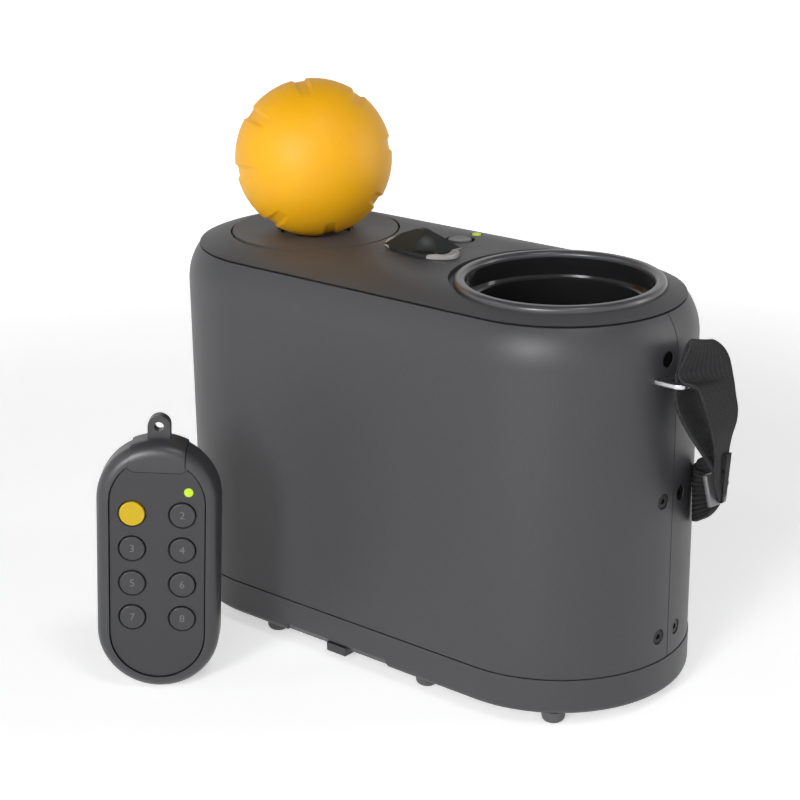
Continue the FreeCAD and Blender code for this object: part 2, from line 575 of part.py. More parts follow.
def make_deck():
    rise = DECK_Z - DECK_RIM_Z
    radius = (rise ** 2 + DECK_EDGE ** 2) / (2 * rise)
    half = math.asin(DECK_EDGE / radius) / 2
    flat_r = DECK_SEAM_R - DECK_EDGE
    middle = (flat_r + radius * math.sin(half), DECK_Z - radius * (1 - math.cos(half)))
    tongue_r = shoulder(WALL)[2][0] - FIT
    deck = stadium([(0, DECK_UNDER_Z), (tongue_r - TONGUE_T, DECK_UNDER_Z),
                    (tongue_r - TONGUE_T, DECK_RIM_Z - TONGUE_H),
                    (tongue_r, DECK_RIM_Z - TONGUE_H), (tongue_r, DECK_RIM_Z),
                    (DECK_SEAM_R, DECK_RIM_Z), ("arc", middle, (flat_r, DECK_Z)), (0, DECK_Z)])
    guide = deck_boss(CONTROL_X, BUTTON_Y, BUTTON_R + GUIDE_WALL, DECK_UNDER_Z - GUIDE_H)
    bearing = deck_boss(KNOB_X, KNOB_Y, KNOB_SHAFT_R + BEARING_WALL, DECK_UNDER_Z - BEARING_H)
    posts = [deck_boss(CONTROL_X + side * SWITCH_POST_X, y, SWITCH_POST_R, SWITCH_TOP_Z)
             for side in (-1, 1) for y in SWITCH_POST_YS]
    holes = [
        through_deck(MUZZLE_SKIRT_R + FIT, END_X),
        upright(RING_R + RING_GROOVE, RING_SEAT_Z, DECK_Z + OVER, END_X),
        through_deck(REST_BODY_R + FIT, -END_X),
        upright(REST_R + REST_GROOVE, REST_UNDER_Z, DECK_Z + OVER, -END_X),
        through_deck(KNOB_SHAFT_R + PIN_PLAY, KNOB_X, KNOB_Y),
        through_deck(BUTTON_R + EASE, CONTROL_X, BUTTON_Y),
        upright(BUTTON_R + BUTTON_GROOVE, DECK_Z - BUTTON_SEAT, DECK_Z + OVER, CONTROL_X, BUTTON_Y),
        through_deck(LIGHT_R, CONTROL_X, LIGHT_Y),
        upright(LIGHT_R + LIGHT_RIM, DECK_Z - LIGHT_SEAT, DECK_Z + OVER, CONTROL_X, LIGHT_Y),
    ]
    save("top_deck", cut(fuse(deck, guide, bearing, *posts), *holes))


def base_solid():
    lift = BASE_EDGE_R * (1 - math.sqrt(0.5))
    edge = ("arc", (BASE_R - lift, BASE_Z + lift), (BASE_R, BASE_Z + BASE_EDGE_R))
    return stadium([(0, BASE_Z), (BASE_R - BASE_EDGE_R, BASE_Z), edge, (BASE_R, BASE_TOP_Z),
                    (0, BASE_TOP_Z)])


def door_prism(grow):
    """Prism that the battery door fills, grown by the gap round it."""
    x0, x1 = DOOR_X
    deep, top = DOOR_LIP_Z - DOOR_SLANT_H, DOOR_LIP_Z + grow
    corners = [(x0 - DOOR_SLANT - grow, deep), (x1 + DOOR_SLANT + grow, deep),
               (x1 + grow, top), (x0 - grow, top)]
    return sheet(corners, -2 * CASE_R, DOOR_BACK_Y + grow)


def bay_block(grow, z0, z1):
    """Block round the battery pack's place, grown sideways."""
    return block(PACK_X, PACK_W / 2 + grow, PACK_Y, PACK_D / 2 + grow, z0, z1)


def hinge_rod(radius, x0, x1):
    """Rod on the door's hinge line, between two places along it from the door's middle."""
    return Part.makeCylinder(radius, x1 - x0, Vector(PACK_X + x0, HINGE_Y, BASE_Z), Vector(1, 0, 0))


def door_knuckle(grow):
    return hinge_rod(HINGE_R + grow, -KNUCKLE_L / 2, KNUCKLE_L / 2)


def base_knuckles(grow):
    inner, outer = KNUCKLE_L / 2 + KNUCKLE_GAP, HINGE_L / 2
    return [hinge_rod(HINGE_R + grow, -outer, -inner), hinge_rod(HINGE_R + grow, inner, outer)]


def post_places():
    """Posts under the chassis plate."""
    corners = [(side * (END_X + POST_OUT), y) for side in (-1, 1) for y in (-POST_Y, POST_Y)]
    return corners + [(x, CASE_R - drop) for x, drop in POST_INNER]


def foot_places():
    """Feet under the straight sides, then under the round ends."""
    places = [(x, side * (BASE_R - FOOT_IN)) for x in FOOT_X for side in (-1, 1)]
    reach, angle = BASE_R - FOOT_END_IN, math.radians(FOOT_END_ANGLE)
    along, across = END_X + reach * math.cos(angle), reach * math.sin(angle)
    return places + [(end * along, side * across) for end in (-1, 1) for side in (-1, 1)]


def latch_room(y0, y1, z0, z1):
    """Room beside the latch's nose and its riser."""
    half = LATCH_NOSE_W / 2 + EASE
    return box(LATCH_X - half, LATCH_X + half, y0, y1, z0, z1)


def make_base():
    tub = base_solid().cut(slab(BASE_IN_R, FLOOR_TOP, BASE_TOP_Z + OVER))
    tongue_in = BASE_TONGUE_R - TONGUE_T
    lip = stadium([(BASE_IN_R + BITE, BASE_TOP_Z - TONGUE_H), (BASE_IN_R + BITE, BASE_TOP_Z),
                   (BASE_TONGUE_R, BASE_TOP_Z), (BASE_TONGUE_R, BASE_SEAM_Z + TONGUE_H),
                   (tongue_in, BASE_SEAM_Z + TONGUE_H), (tongue_in, BASE_TOP_Z - TONGUE_H / 2)])
    posts = [upright(POST_R, FLOOR_TOP - BITE, CHASSIS_Z, x, y) for x, y in post_places()]
    flange = box(DOOR_X[0] - BAY_FLANGE, DOOR_X[1] + BAY_FLANGE, -BASE_IN_R - BITE,
                 DOOR_BACK_Y + BAY_FLANGE, FLOOR_TOP - BITE, FLOOR_TOP + BAY_FLANGE_T)
    bay = fuse(bay_block(BAY_WALL + FIT, FLOOR_TOP, BAY_TOP_Z), flange)
    bay = bay.cut(bay_block(FIT, BASE_Z, BAY_TOP_Z - BAY_WALL))
    tub = fuse(tub, lip, bay, *posts).cut(door_prism(DOOR_GAP)).cut(door_knuckle(EASE))
    tub = fuse(tub, *base_knuckles(0.0)).cut(hinge_rod(HINGE_PIN_R, -HINGE_L, HINGE_L))
    nose_top = LATCH_NOSE_Z + LATCH_NOSE_H + 2 * FIT
    tools = [latch_room(-BASE_IN_R - LATCH_NOSE_L, PACK_Y, LATCH_NOSE_Z - 2 * FIT, nose_top),
             latch_room(LATCH_RISER_Y - BITE, PACK_Y - PACK_D / 2, FLOOR_TOP - OVER, nose_top)]
    for x, y in post_places():
        tools.append(upright(SCREW_R + FIT, BASE_Z - OVER, CHASSIS_Z + OVER, x, y))
        tools.append(upright(RECESS_R, BASE_Z - OVER, BASE_SCREW_Z + SCREW_HEAD_H, x, y))
    for x, y in foot_places():
        tools.append(upright(FOOT_R - STEM_IN, BASE_Z - OVER, BASE_Z + STEM_H, x, y))
    save("base_tub", cut(tub, *tools))
    save("door_hinge_pin", hinge_rod(HINGE_PIN_R, -HINGE_L / 2, HINGE_L / 2))


def make_base_screws():
    screws, seat = [], BASE_SCREW_Z + SCREW_HEAD_H
    for x, y in post_places():
        head = upright(SCREW_HEAD_R, BASE_SCREW_Z, seat, x, y)
        shank = upright(SCREW_R, seat, CHASSIS_TOP, x, y)
        socket = upright(SOCKET_R, BASE_Z, BASE_SCREW_Z + SCREW_HEAD_H / 2, x, y)
        screws.append(fuse(head, shank).cut(socket))
    save("base_screws", *screws)


def make_feet():
    drop = FOOT_EDGE * (1 - math.sqrt(0.5))
    stem_r = FOOT_R - STEM_IN
    section = [(0, 0), (FOOT_FLAT_R, 0), ("arc", (FOOT_R - drop, drop), (FOOT_R, FOOT_EDGE)),
               (FOOT_R, BASE_Z), (stem_r, BASE_Z), (stem_r, BASE_Z + STEM_H), (0, BASE_Z + STEM_H)]
    save("rubber_feet", *[turned(section, x, y) for x, y in foot_places()])


def lip_wedge():
    """What the door's slanting lip leaves out of the base's outline."""
    front = -BASE_R - OVER
    wedge = [(front, BASE_Z - OVER), (-BASE_R + LIP_SLOPE + OVER, BASE_Z - OVER),
             (-BASE_R + LIP_SLOPE, BASE_Z), (-BASE_R + LIP_IN, DOOR_LIP_Z), (front, DOOR_LIP_Z)]
    face = Part.Face(outline(wedge)).rotated(Vector(), Vector(0, 0, 1), 90)
    return face.translated(Vector(WALL_X, 0, 0)).extrude(Vector(-2 * WALL_X, 0, 0))


def make_door():
    room = box(-WALL_X, WALL_X, -BASE_IN_R, CASE_R, FLOOR_TOP, BASE_TOP_Z)
    door = cut(base_solid().common(door_prism(0.0)), room, lip_wedge(), *base_knuckles(EASE))
    pocket = box(LATCH_X - LATCH_W / 2 - EASE, LATCH_X + LATCH_W / 2 + EASE,
                 LATCH_FRONT_Y - EASE - OVER, LATCH_BACK_Y + LATCH_TRAVEL + EASE,
                 BASE_Z - OVER, LATCH_TOP_Z + FIT)
    riser = latch_room(LATCH_RISER_Y - EASE, LATCH_RISER_Y + LATCH_RISER_T + LATCH_TRAVEL + EASE,
                       BASE_Z, FLOOR_TOP + OVER)
    bore = hinge_rod(HINGE_PIN_R + PIN_PLAY, -HINGE_L, HINGE_L)
    save("battery_door", cut(fuse(door, door_knuckle(0.0)), pocket, riser, bore))


def make_latch():
    half, nose_half = LATCH_W / 2, LATCH_NOSE_W / 2
    nose_top = LATCH_NOSE_Z + LATCH_NOSE_H
    tab = box(LATCH_X - half, LATCH_X + half, LATCH_FRONT_Y, LATCH_BACK_Y, BASE_Z - LATCH_DROP,
              LATCH_TOP_Z)
    tab = tab.makeFillet(LATCH_EDGE, [e for e in tab.Edges if e.BoundBox.ZMax < BASE_Z])
    riser = box(LATCH_X - nose_half, LATCH_X + nose_half, LATCH_RISER_Y,
                LATCH_RISER_Y + LATCH_RISER_T, LATCH_TOP_Z - BITE, nose_top)
    nose = box(LATCH_X - nose_half, LATCH_X + nose_half, LATCH_RISER_Y - LATCH_NOSE_L,
               LATCH_RISER_Y + BITE, LATCH_NOSE_Z, nose_top)
    save("door_latch", fuse(tab, riser, nose))


# ---------------------------------------------------------------- battery and electronics
def make_battery():
    top = PACK_Z + PACK_H
    pack = bay_block(0.0, PACK_Z, top)
    save("battery_pack", pack.makeFillet(PACK_EDGE_R, edges_along(pack, Vector(0, 0, 1))))
    strips = [block(PACK_X + side * CONTACT_X, CONTACT_W / 2, PACK_Y, CONTACT_L / 2, top,
                    BAY_TOP_Z - BAY_WALL) for side in (-1, 1)]
    save("battery_contacts", *strips)


def make_chassis():
    plate = slab(BASE_TONGUE_R - TONGUE_T - CHASSIS_GAP, CHASSIS_Z, CHASSIS_TOP)
    below, above = CHASSIS_Z - OVER, CHASSIS_TOP + OVER
    holes = [bay_block(BAY_WALL + 2 * FIT, below, above),
             box(RACK_PITCH_X - RACK_MODULE - CHASSIS_GAP, END_X - BORE_R + OVER,
                 -EAR_HALF_W - CHASSIS_GAP, EAR_HALF_W + CHASSIS_GAP, below, above)]
    holes += [upright(SCREW_R, below, above, x, y) for x, y in post_places()]
    posts = [block(BOARD_X - BOARD_POST_T / 2, BOARD_POST_T / 2, side * BOARD_POST_Y,
                   BOARD_POST_W / 2, CHASSIS_TOP - BITE, CHASSIS_TOP + BOARD_POST_H)
             for side in (-1, 1)]
    save("chassis_plate", fuse(cut(plate, *holes), *posts))


def make_electronics():
    face_x = BOARD_X + BOARD_T
    board = box(BOARD_X, face_x, -BOARD_HALF_W, BOARD_HALF_W, *BOARD_Z)
    chips = [box(face_x, face_x + CHIP_T, y, y + width, BOARD_Z[0] + up, BOARD_Z[0] + up + height)
             for y, width, up, height in CHIPS]
    save("control_board", fuse(board, *chips))
    x, start = BOARD_X - ANTENNA_R, BOARD_Z[1] - ANTENNA_SEAT
    rod = upright(ANTENNA_R, start, BOARD_Z[1] + ANTENNA_L, x, ANTENNA_Y)
    coil_z = BOARD_Z[1] + (ANTENNA_L - ANTENNA_COIL_L) / 2
    coil = upright(ANTENNA_COIL_R, coil_z, coil_z + ANTENNA_COIL_L, x, ANTENNA_Y)
    save("antenna", fuse(rod, coil))


def make_switches():
    """Small board that hangs under the deck, with the switches the knob and the button work."""
    z = SWITCH_TOP_Z
    half_x = SWITCH_POST_X + SWITCH_MARGIN
    plate = box(CONTROL_X - half_x, CONTROL_X + half_x, SWITCH_POST_YS[0] - SWITCH_MARGIN,
                SWITCH_POST_YS[1] + SWITCH_MARGIN, z - SWITCH_T, z)
    stem = block(CONTROL_X, STEM_HALF, LIGHT_Y, STEM_HALF, z, LIGHT_BOTTOM_Z)
    push = block(CONTROL_X, SWITCH_HALF, BUTTON_Y, SWITCH_HALF, z, z + SWITCH_H)
    save("switch_board", fuse(plate, stem, push))
    rotary = block(KNOB_X, ROTARY_HALF, KNOB_Y, ROTARY_HALF, z, z + ROTARY_H)
    bore = upright(KNOB_SHAFT_R + PIN_PLAY, z + ROTARY_FLOOR, z + ROTARY_H + OVER, KNOB_X, KNOB_Y)
    save("rotary_switch", rotary.cut(bore))


def make_ball_sensors():
    barrel = upright(BARREL_OUT_R, 0, DECK_Z, END_X)
    sensors = []
    for side in (-1, 1):
        y0, y1 = sorted((side * BORE_R, side * (BARREL_OUT_R + SENSOR_OUT)))
        z = CUP_RIM_Z + SENSOR_UP
        sensor = box(END_X - SENSOR_W / 2, END_X + SENSOR_W / 2, y0, y1, z, z + SENSOR_H)
        sensors.append(sensor.cut(barrel))
    save("ball_sensors", *sensors)


# ---------------------------------------------------------------- deck controls, ball rest, ball
def make_knob():
    """Oval base with dipped ends, and a wing hollowed on both sides, all about the shaft's axis."""
    base_top, peak = KNOB_LIFT + KNOB_BASE_T, KNOB_RISE
    oval = Part.Ellipse(Vector(), KNOB_HALF_L, KNOB_HALF_W).toShape()
    base = Part.Face(Part.Wire(oval)).translated(Vector(0, 0, KNOB_LIFT))
    base = base.extrude(Vector(0, 0, KNOB_BASE_T))
    base = base.makeFillet(KNOB_EDGE, [e for e in base.Edges if e.BoundBox.ZMin > KNOB_LIFT + BITE])
    for side in (1, -1):
        middle = Vector(side * KNOB_DIP_X, 0, base_top - KNOB_DIP + KNOB_DIP_R)
        base = base.cut(Part.makeSphere(KNOB_DIP_R, middle))
    foot, flank = base_top - BITE, (KNOB_FLANK, base_top + KNOB_FLANK_RISE)
    crest = (KNOB_TOP_HALF, peak - KNOB_TOP_DROP)
    bell = [(-KNOB_WING_L, foot), (KNOB_WING_L, foot), (KNOB_WING_L, base_top), flank, crest,
            ("arc", (0.0, peak), (-crest[0], crest[1])), (-flank[0], flank[1]),
            (-KNOB_WING_L, base_top)]
    waist = (KNOB_WAIST, base_top + KNOB_WAIST_RISE)
    fin = [(-KNOB_FOOT_HALF, foot), (KNOB_FOOT_HALF, foot), (KNOB_FOOT_HALF, base_top),
           ("arc", waist, (KNOB_RIDGE_HALF, peak)), (-KNOB_RIDGE_HALF, peak),
           ("arc", (-waist[0], waist[1]), (-KNOB_FOOT_HALF, base_top))]
    cross = polar(sheet(fin, -KNOB_HALF_L, KNOB_HALF_L), 90)
    wing = sheet(bell, -KNOB_HALF_L, KNOB_HALF_L).common(cross)
    x, y, rise = KNOB_SCOOP_AT
    for side in (1, -1):
        wing = wing.cut(Part.makeSphere(KNOB_SCOOP_R, Vector(side * x, side * y, base_top + rise)))
    shaft = upright(KNOB_SHAFT_R, SWITCH_TOP_Z + ROTARY_FLOOR + BITE - DECK_Z, KNOB_LIFT + BITE)
    knob = fuse(base, wing, shaft)
    save("selector_knob", polar(knob, KNOB_TURN).translated(Vector(KNOB_X, KNOB_Y, DECK_Z)))


def make_button_and_light():
    top, drop = DECK_Z + BUTTON_RISE, BUTTON_EDGE * (1 - math.sqrt(0.5))
    cap = turned([(0, BUTTON_BOTTOM_Z), (BUTTON_R, BUTTON_BOTTOM_Z), (BUTTON_R, top - BUTTON_EDGE),
                  ("arc", (BUTTON_R - drop, top - drop), (BUTTON_R - BUTTON_EDGE, top)),
                  (0, top - BUTTON_EDGE / 2)], CONTROL_X, BUTTON_Y)
    save("power_button", cap)
    lens_top = DECK_Z + LIGHT_RISE
    lens = turned([(0, LIGHT_BOTTOM_Z), (LIGHT_R, LIGHT_BOTTOM_Z), (LIGHT_R, DECK_Z),
                   ("arc", (LIGHT_R * 0.8, DECK_Z + LIGHT_RISE * 0.6), (LIGHT_R / 2, lens_top)),
                   (0, lens_top)], CONTROL_X, LIGHT_Y)
    save("status_light", lens)


def make_ball_rest():
    dish_z, pit_z = DECK_Z - DISH_DEPTH, DECK_Z - PIT_DEPTH
    bowl_z = DECK_Z - BALL_DIP - BALL_SEAT_GAP
    bowl_r, under = BALL_R + BOWL_OVER, DECK_Z - REST_BODY_T
    disc = turned([(0, under), (REST_BODY_R, under), (REST_BODY_R, REST_UNDER_Z),
                   (REST_R, REST_UNDER_Z), (REST_R, DECK_Z), (DISH_R, DECK_Z),
                   (DISH_R - DISH_EDGE, dish_z), (PIT_R, dish_z), (PIT_R, pit_z), (0, pit_z)], -END_X)
    save("ball_rest_cap", disc.cut(Part.makeSphere(bowl_r, Vector(-END_X, 0, bowl_z + bowl_r))))


def make_ball():
    azimuth, elevation = BALL_AXIS
    ball = Part.makeSphere(BALL_R)
    for i in range(BALL_SLOTS):
        tool = box(BALL_R - SLOT_DEPTH, BALL_R + OVER, -SLOT_W / 2, SLOT_W / 2, -SLOT_L / 2, SLOT_L / 2)
        tool = tool.makeFillet(SLOT_EDGE, edges_along(tool, Vector(1, 0, 0)))
        ball = ball.cut(polar(tool, 360.0 * i / BALL_SLOTS))
    ball.rotate(Vector(), Vector(0, 1, 0), 90 - elevation)
    ball.rotate(Vector(), Vector(0, 0, 1), azimuth)
    save("play_ball", ball.translated(Vector(-END_X, 0, BALL_Z)))


# ---------------------------------------------------------------- barrel and cup
def make_muzzle_ring():
    top, out_drop = DECK_Z + RING_RISE, RING_OUT_EDGE * (1 - math.sqrt(0.5))
    in_drop = RING_IN_EDGE * (1 - math.sqrt(0.5))
    ring = turned([(RING_IN_R, RING_SEAT_Z), (RING_R, RING_SEAT_Z), (RING_R, top - RING_OUT_EDGE),
                   ("arc", (RING_R - out_drop, top - out_drop), (RING_R - RING_OUT_EDGE, top)),
                   (RING_IN_R + RING_IN_EDGE, top),
                   ("arc", (RING_IN_R + in_drop, top - in_drop), (RING_IN_R, top - RING_IN_EDGE))],
                  END_X)
    save("muzzle_ring", ring)


def make_barrel():
    foot_r, foot_top = BARREL_OUT_R + BARREL_FLANGE, BARREL_FOOT_Z + BARREL_FLANGE
    rim_z = BARREL_TOP_Z - BARREL_RIM_T
    tube = turned([(BORE_R, BARREL_FOOT_Z), (foot_r, BARREL_FOOT_Z), (foot_r, foot_top),
                   (BARREL_OUT_R, foot_top), (BARREL_OUT_R, rim_z), (MUZZLE_SKIRT_R, rim_z),
                   (MUZZLE_SKIRT_R, RING_SEAT_Z), (MUZZLE_R, RING_SEAT_Z),
                   (MUZZLE_R, BARREL_TOP_Z), (BORE_R + MOUTH_EDGE, BARREL_TOP_Z),
                   (BORE_R, BARREL_TOP_Z - MOUTH_EDGE)], END_X)
    slot = box(END_X - BARREL_OUT_R - OVER, END_X - BORE_R / 2, -SLOT_HALF_W, SLOT_HALF_W,
               EAR_Z - CUP_STROKE - SLOT_OVER, EAR_Z + EAR_H + SLOT_OVER / 2)
    rack_room = box(0, RACK_BACK_X + EASE, -SLOT_HALF_W, SLOT_HALF_W, BARREL_FOOT_Z - OVER,
                    foot_top + OVER)
    save("launch_barrel", cut(tube, slot, rack_room))
    rib_out = SPRING_R - SPRING_WIRE_R - SEAT_RIB_GAP
    rib_in, rib_top = rib_out - SEAT_RIB_T, SEAT_TOP_Z + SEAT_RIB_H
    seat_r = BORE_R - FIT
    seat = turned([(SEAT_HOLE_R, BARREL_FOOT_Z), (seat_r, BARREL_FOOT_Z), (seat_r, SEAT_TOP_Z),
                   (rib_out, SEAT_TOP_Z), (rib_out, rib_top), (rib_in, rib_top),
                   (rib_in, SEAT_TOP_Z), (SEAT_HOLE_R, SEAT_TOP_Z)], END_X)
    save("spring_seat", seat)


def make_cup():
    skirt_r, slope_r = CUP_R - CUP_WALL, CUP_R - 2 * CUP_WALL
    dish = ("arc", ((slope_r + PAD_R) / 2, CUP_FLOOR_Z + CUP_DISH), (PAD_R, CUP_FLOOR_Z))
    cup = turned([(0, CUP_WEB_Z), (skirt_r, CUP_WEB_Z), (skirt_r, CUP_BOTTOM_Z),
                  (CUP_R, CUP_BOTTOM_Z), (CUP_R, CUP_RIM_Z), (skirt_r, CUP_RIM_Z),
                  (slope_r, CUP_RIM_Z - CUP_WALL / 2), dish, (0, CUP_FLOOR_Z)], END_X)
    ear = box(RACK_BACK_X, END_X - CUP_R + CUP_WALL * 3 / 4, -EAR_HALF_W, EAR_HALF_W, EAR_Z,
              EAR_Z + EAR_H)
    save("launch_cup", fuse(cup, ear))
    save("cup_pad", upright(PAD_R, CUP_FLOOR_Z, CUP_FLOOR_Z + PAD_T, END_X))


def make_spring():
    """Coil of tilted half rings that meet in the barrel's middle plane; its end turns lie flat."""
    height = CUP_WEB_Z - SEAT_TOP_Z - 2 * SPRING_WIRE_R
    rising = 2 * SPRING_TURNS - 2
    halves, z = [], SEAT_TOP_Z + SPRING_WIRE_R
    for i, rise in enumerate([0.0] + [height / rising] * rising + [0.0]):
        radius = math.hypot(SPRING_R, rise / 2)
        half = Part.makeTorus(radius, SPRING_WIRE_R, Vector(), Vector(0, 0, 1), -180, 180, 180)
        half = half.rotated(Vector(), Vector(0, 1, 0), math.degrees(math.asin(rise / 2 / radius)))
        halves.append(polar(half, 180 * (i % 2)).translated(Vector(END_X, 0, z + rise / 2)))
        z += rise
    save("launch_spring", fuse(*halves))


# ---------------------------------------------------------------- gears
def involute(angle):
    return math.tan(angle) - angle


def gear_points(module, teeth, shift, phase, cut_teeth=None, blank_r=0.0):
    """Outline of a spur gear with involute flanks; the teeth not in cut_teeth are left blank."""
    pitch_r = module * teeth / 2
    base_r = pitch_r * math.cos(PRESSURE)
    tip_r = pitch_r + module * (ADDENDUM + shift)
    root_r = pitch_r - module * (DEDENDUM - shift)
    start_r = max(base_r, root_r)

    def half_angle(radius):
        at = math.acos(min(1.0, base_r / radius))
        width = (math.pi / 2 + 2 * shift * math.tan(PRESSURE)) / teeth - BACKLASH / (2 * pitch_r)
        return width + involute(PRESSURE) - involute(at)

    radii = [start_r + (tip_r - start_r) * i / FLANK_STEPS for i in range(FLANK_STEPS + 1)]
    flank = [(r, half_angle(r)) for r in radii]
    if root_r < start_r:
        flank.insert(0, (root_r, flank[0][1]))
    points, step = [], 2 * math.pi / teeth
    for tooth in range(teeth):
        middle = phase + tooth * step
        if cut_teeth is not None and tooth not in cut_teeth:
            around = [(blank_r, -step / 2), (blank_r, 0.0)]
        else:
            around = [(root_r, -step / 2)] + [(r, -a) for r, a in flank]
            around += [(r, a) for r, a in reversed(flank)]
        points += [(r * math.cos(middle + a), r * math.sin(middle + a)) for r, a in around]
    return points


def gear(points, x, z, y0, y1, bore_r):
    """Gear across the case between y0 and y1, with a bore."""
    wheel = sheet(points, y0, y1).translated(Vector(x, 0, z))
    return wheel.cut(crosswise(bore_r, y0 - OVER, y1 + OVER, x, z))


def mesh_phase(angle, teeth_a, teeth_b):
    """Phase of gear B, which lies at that angle from gear A, so that their teeth interleave."""
    tooth_a = angle * teeth_a / (2 * math.pi)
    return angle + math.pi - (0.5 - tooth_a) * 2 * math.pi / teeth_b


def make_gears():
    rack_half = EAR_HALF_W - SECTOR_SIDE
    kept = {i % SECTOR_TEETH for i in range(-1, SECTOR_CUT_TEETH - 1)}
    blank_r = SECTOR_PITCH_R - BLANK_DROP * RACK_MODULE
    sector = gear(gear_points(RACK_MODULE, SECTOR_TEETH, 0.0, 0.0, kept, blank_r),
                  SECTOR_X, SECTOR_Z, -rack_half, rack_half, SHAFT_R)
    drive = gear(gear_points(DRIVE_MODULE, DRIVE_TEETH, -TOOTH_SHIFT, 0.0),
                 SECTOR_X, SECTOR_Z, DRIVE_Y, DRIVE_Y + GEAR_T, SHAFT_R)
    hub = crosswise(HUB_R, rack_half - BITE, DRIVE_Y + BITE, SECTOR_X, SECTOR_Z)
    hub = hub.cut(crosswise(SHAFT_R, 0, DRIVE_Y + OVER, SECTOR_X, SECTOR_Z))
    save("sector_gear", fuse(sector, hub, drive))
    rear_end = PLATE_BACK_Y + PLATE_T + SHAFT_STUB
    save("sector_shaft", crosswise(SHAFT_R, PLATE_FRONT_Y - SHAFT_STUB, rear_end, SECTOR_X, SECTOR_Z))

    phase = mesh_phase(REDUCTION_DIR, DRIVE_TEETH, SMALL_TEETH)
    small = gear(gear_points(DRIVE_MODULE, SMALL_TEETH, TOOTH_SHIFT, phase), REDUCTION_X, REDUCTION_Z,
                 DRIVE_Y - PINION_OVER, DRIVE_Y + GEAR_T + PINION_OVER, REDUCTION_SHAFT_R)
    save("reduction_pinion", small)
    large = gear(gear_points(MOTOR_MODULE, LARGE_TEETH, -TOOTH_SHIFT, 0.0), REDUCTION_X, REDUCTION_Z,
                 LARGE_Y, LARGE_Y + LARGE_T, REDUCTION_SHAFT_R)
    save("reduction_gear", large)
    save("reduction_shaft", crosswise(REDUCTION_SHAFT_R, LARGE_Y - SHAFT_STUB, rear_end,
                                      REDUCTION_X, REDUCTION_Z))

    phase = mesh_phase(MOTOR_DIR, LARGE_TEETH, PINION_TEETH)
    pinion = gear(gear_points(MOTOR_MODULE, PINION_TEETH, TOOTH_SHIFT, phase), MOTOR_X, MOTOR_Z,
                  LARGE_Y - PINION_OVER, LARGE_Y + LARGE_T + PINION_OVER, MOTOR_SHAFT_R)
    shaft = crosswise(MOTOR_SHAFT_R, LARGE_Y - SHAFT_STUB, PLATE_FRONT_BACK + MOTOR_SHAFT_IN,
                      MOTOR_X, MOTOR_Z)
    save("motor_pinion", fuse(pinion, shaft))


def make_motor():
    x, z, y0 = MOTOR_X, MOTOR_Z, PLATE_FRONT_BACK
    y1 = y0 + MOTOR_L
    can = crosswise(MOTOR_R, y0, y1, x, z)
    can = can.makeFillet(MOTOR_EDGE, [e for e in can.Edges if e.BoundBox.YMin > y1 - OVER])
    boss = crosswise(MOTOR_BOSS_R, PLATE_FRONT_Y, y0 + BITE, x, z)
    tail = crosswise(MOTOR_TAIL_R, y1 - BITE, y1 + MOTOR_TAIL_L, x, z)
    tabs = [box(x + side * TAB_X - TAB_W / 2, x + side * TAB_X + TAB_W / 2, y1 - BITE, y1 + TAB_L,
                z + TAB_Z, z + TAB_Z + TAB_T) for side in (-1, 1)]
    bore = crosswise(MOTOR_SHAFT_R + PIN_PLAY, PLATE_FRONT_Y - OVER, y0 + MOTOR_SHAFT_IN + OVER, x, z)
    save("gear_motor", fuse(can, boss, tail, *tabs).cut(bore))


def standoff_places():
    low = CHASSIS_TOP + STANDOFF_LIFT
    return [(MOTOR_X - MOTOR_R, REDUCTION_Z + STANDOFF_UP[0]),
            (REDUCTION_X + STANDOFF_OUT[0], REDUCTION_Z + STANDOFF_UP[1]),
            ((MOTOR_X + SECTOR_X) / 2 + STANDOFF_OUT[1], low), (SECTOR_X + STANDOFF_OUT[2], low)]


def make_gearbox():
    x0, x1 = MOTOR_X - MOTOR_R - PLATE_MARGIN, RACK_PITCH_X - RACK_MODULE - PLATE_MARGIN
    top, corner = REDUCTION_Z + PLATE_RISE, PLATE_CORNER
    corners = [(x0, CHASSIS_TOP), (x1, CHASSIS_TOP), (x1, top - corner), (x1 - corner, top),
               (x0 + corner / 2, top), (x0, top - corner / 2)]
    plates = [sheet(corners, y0, y0 + PLATE_T) for y0 in (PLATE_FRONT_Y, PLATE_BACK_Y)]
    bushes = []
    for x, z, shaft_r in ((SECTOR_X, SECTOR_Z, SHAFT_R), (REDUCTION_X, REDUCTION_Z, REDUCTION_SHAFT_R)):
        hole = crosswise(BUSH_R, PLATE_FRONT_Y - OVER, PLATE_BACK_Y + PLATE_T + OVER, x, z)
        bore = crosswise(shaft_r + PIN_PLAY, PLATE_FRONT_Y - OVER, PLATE_BACK_Y + PLATE_T + OVER, x, z)
        plates = [plate.cut(hole) for plate in plates]
        bushes += [crosswise(BUSH_R, y0, y0 + PLATE_T, x, z).cut(bore)
                   for y0 in (PLATE_FRONT_Y, PLATE_BACK_Y)]
    front, rear = plates
    front = front.cut(crosswise(MOTOR_BOSS_R, PLATE_FRONT_Y - OVER, PLATE_FRONT_BACK + OVER,
                                MOTOR_X, MOTOR_Z))
    rear = rear.cut(crosswise(MOTOR_R, PLATE_BACK_Y - OVER, PLATE_BACK_Y + PLATE_T + OVER,
                              MOTOR_X, MOTOR_Z))
    save("gearbox_front_plate", front)
    save("gearbox_rear_plate", rear)
    save("shaft_bushings", *bushes)
    save("gearbox_standoffs", *[crosswise(STANDOFF_R, PLATE_FRONT_BACK, PLATE_BACK_Y, x, z)
                                for x, z in standoff_places()])


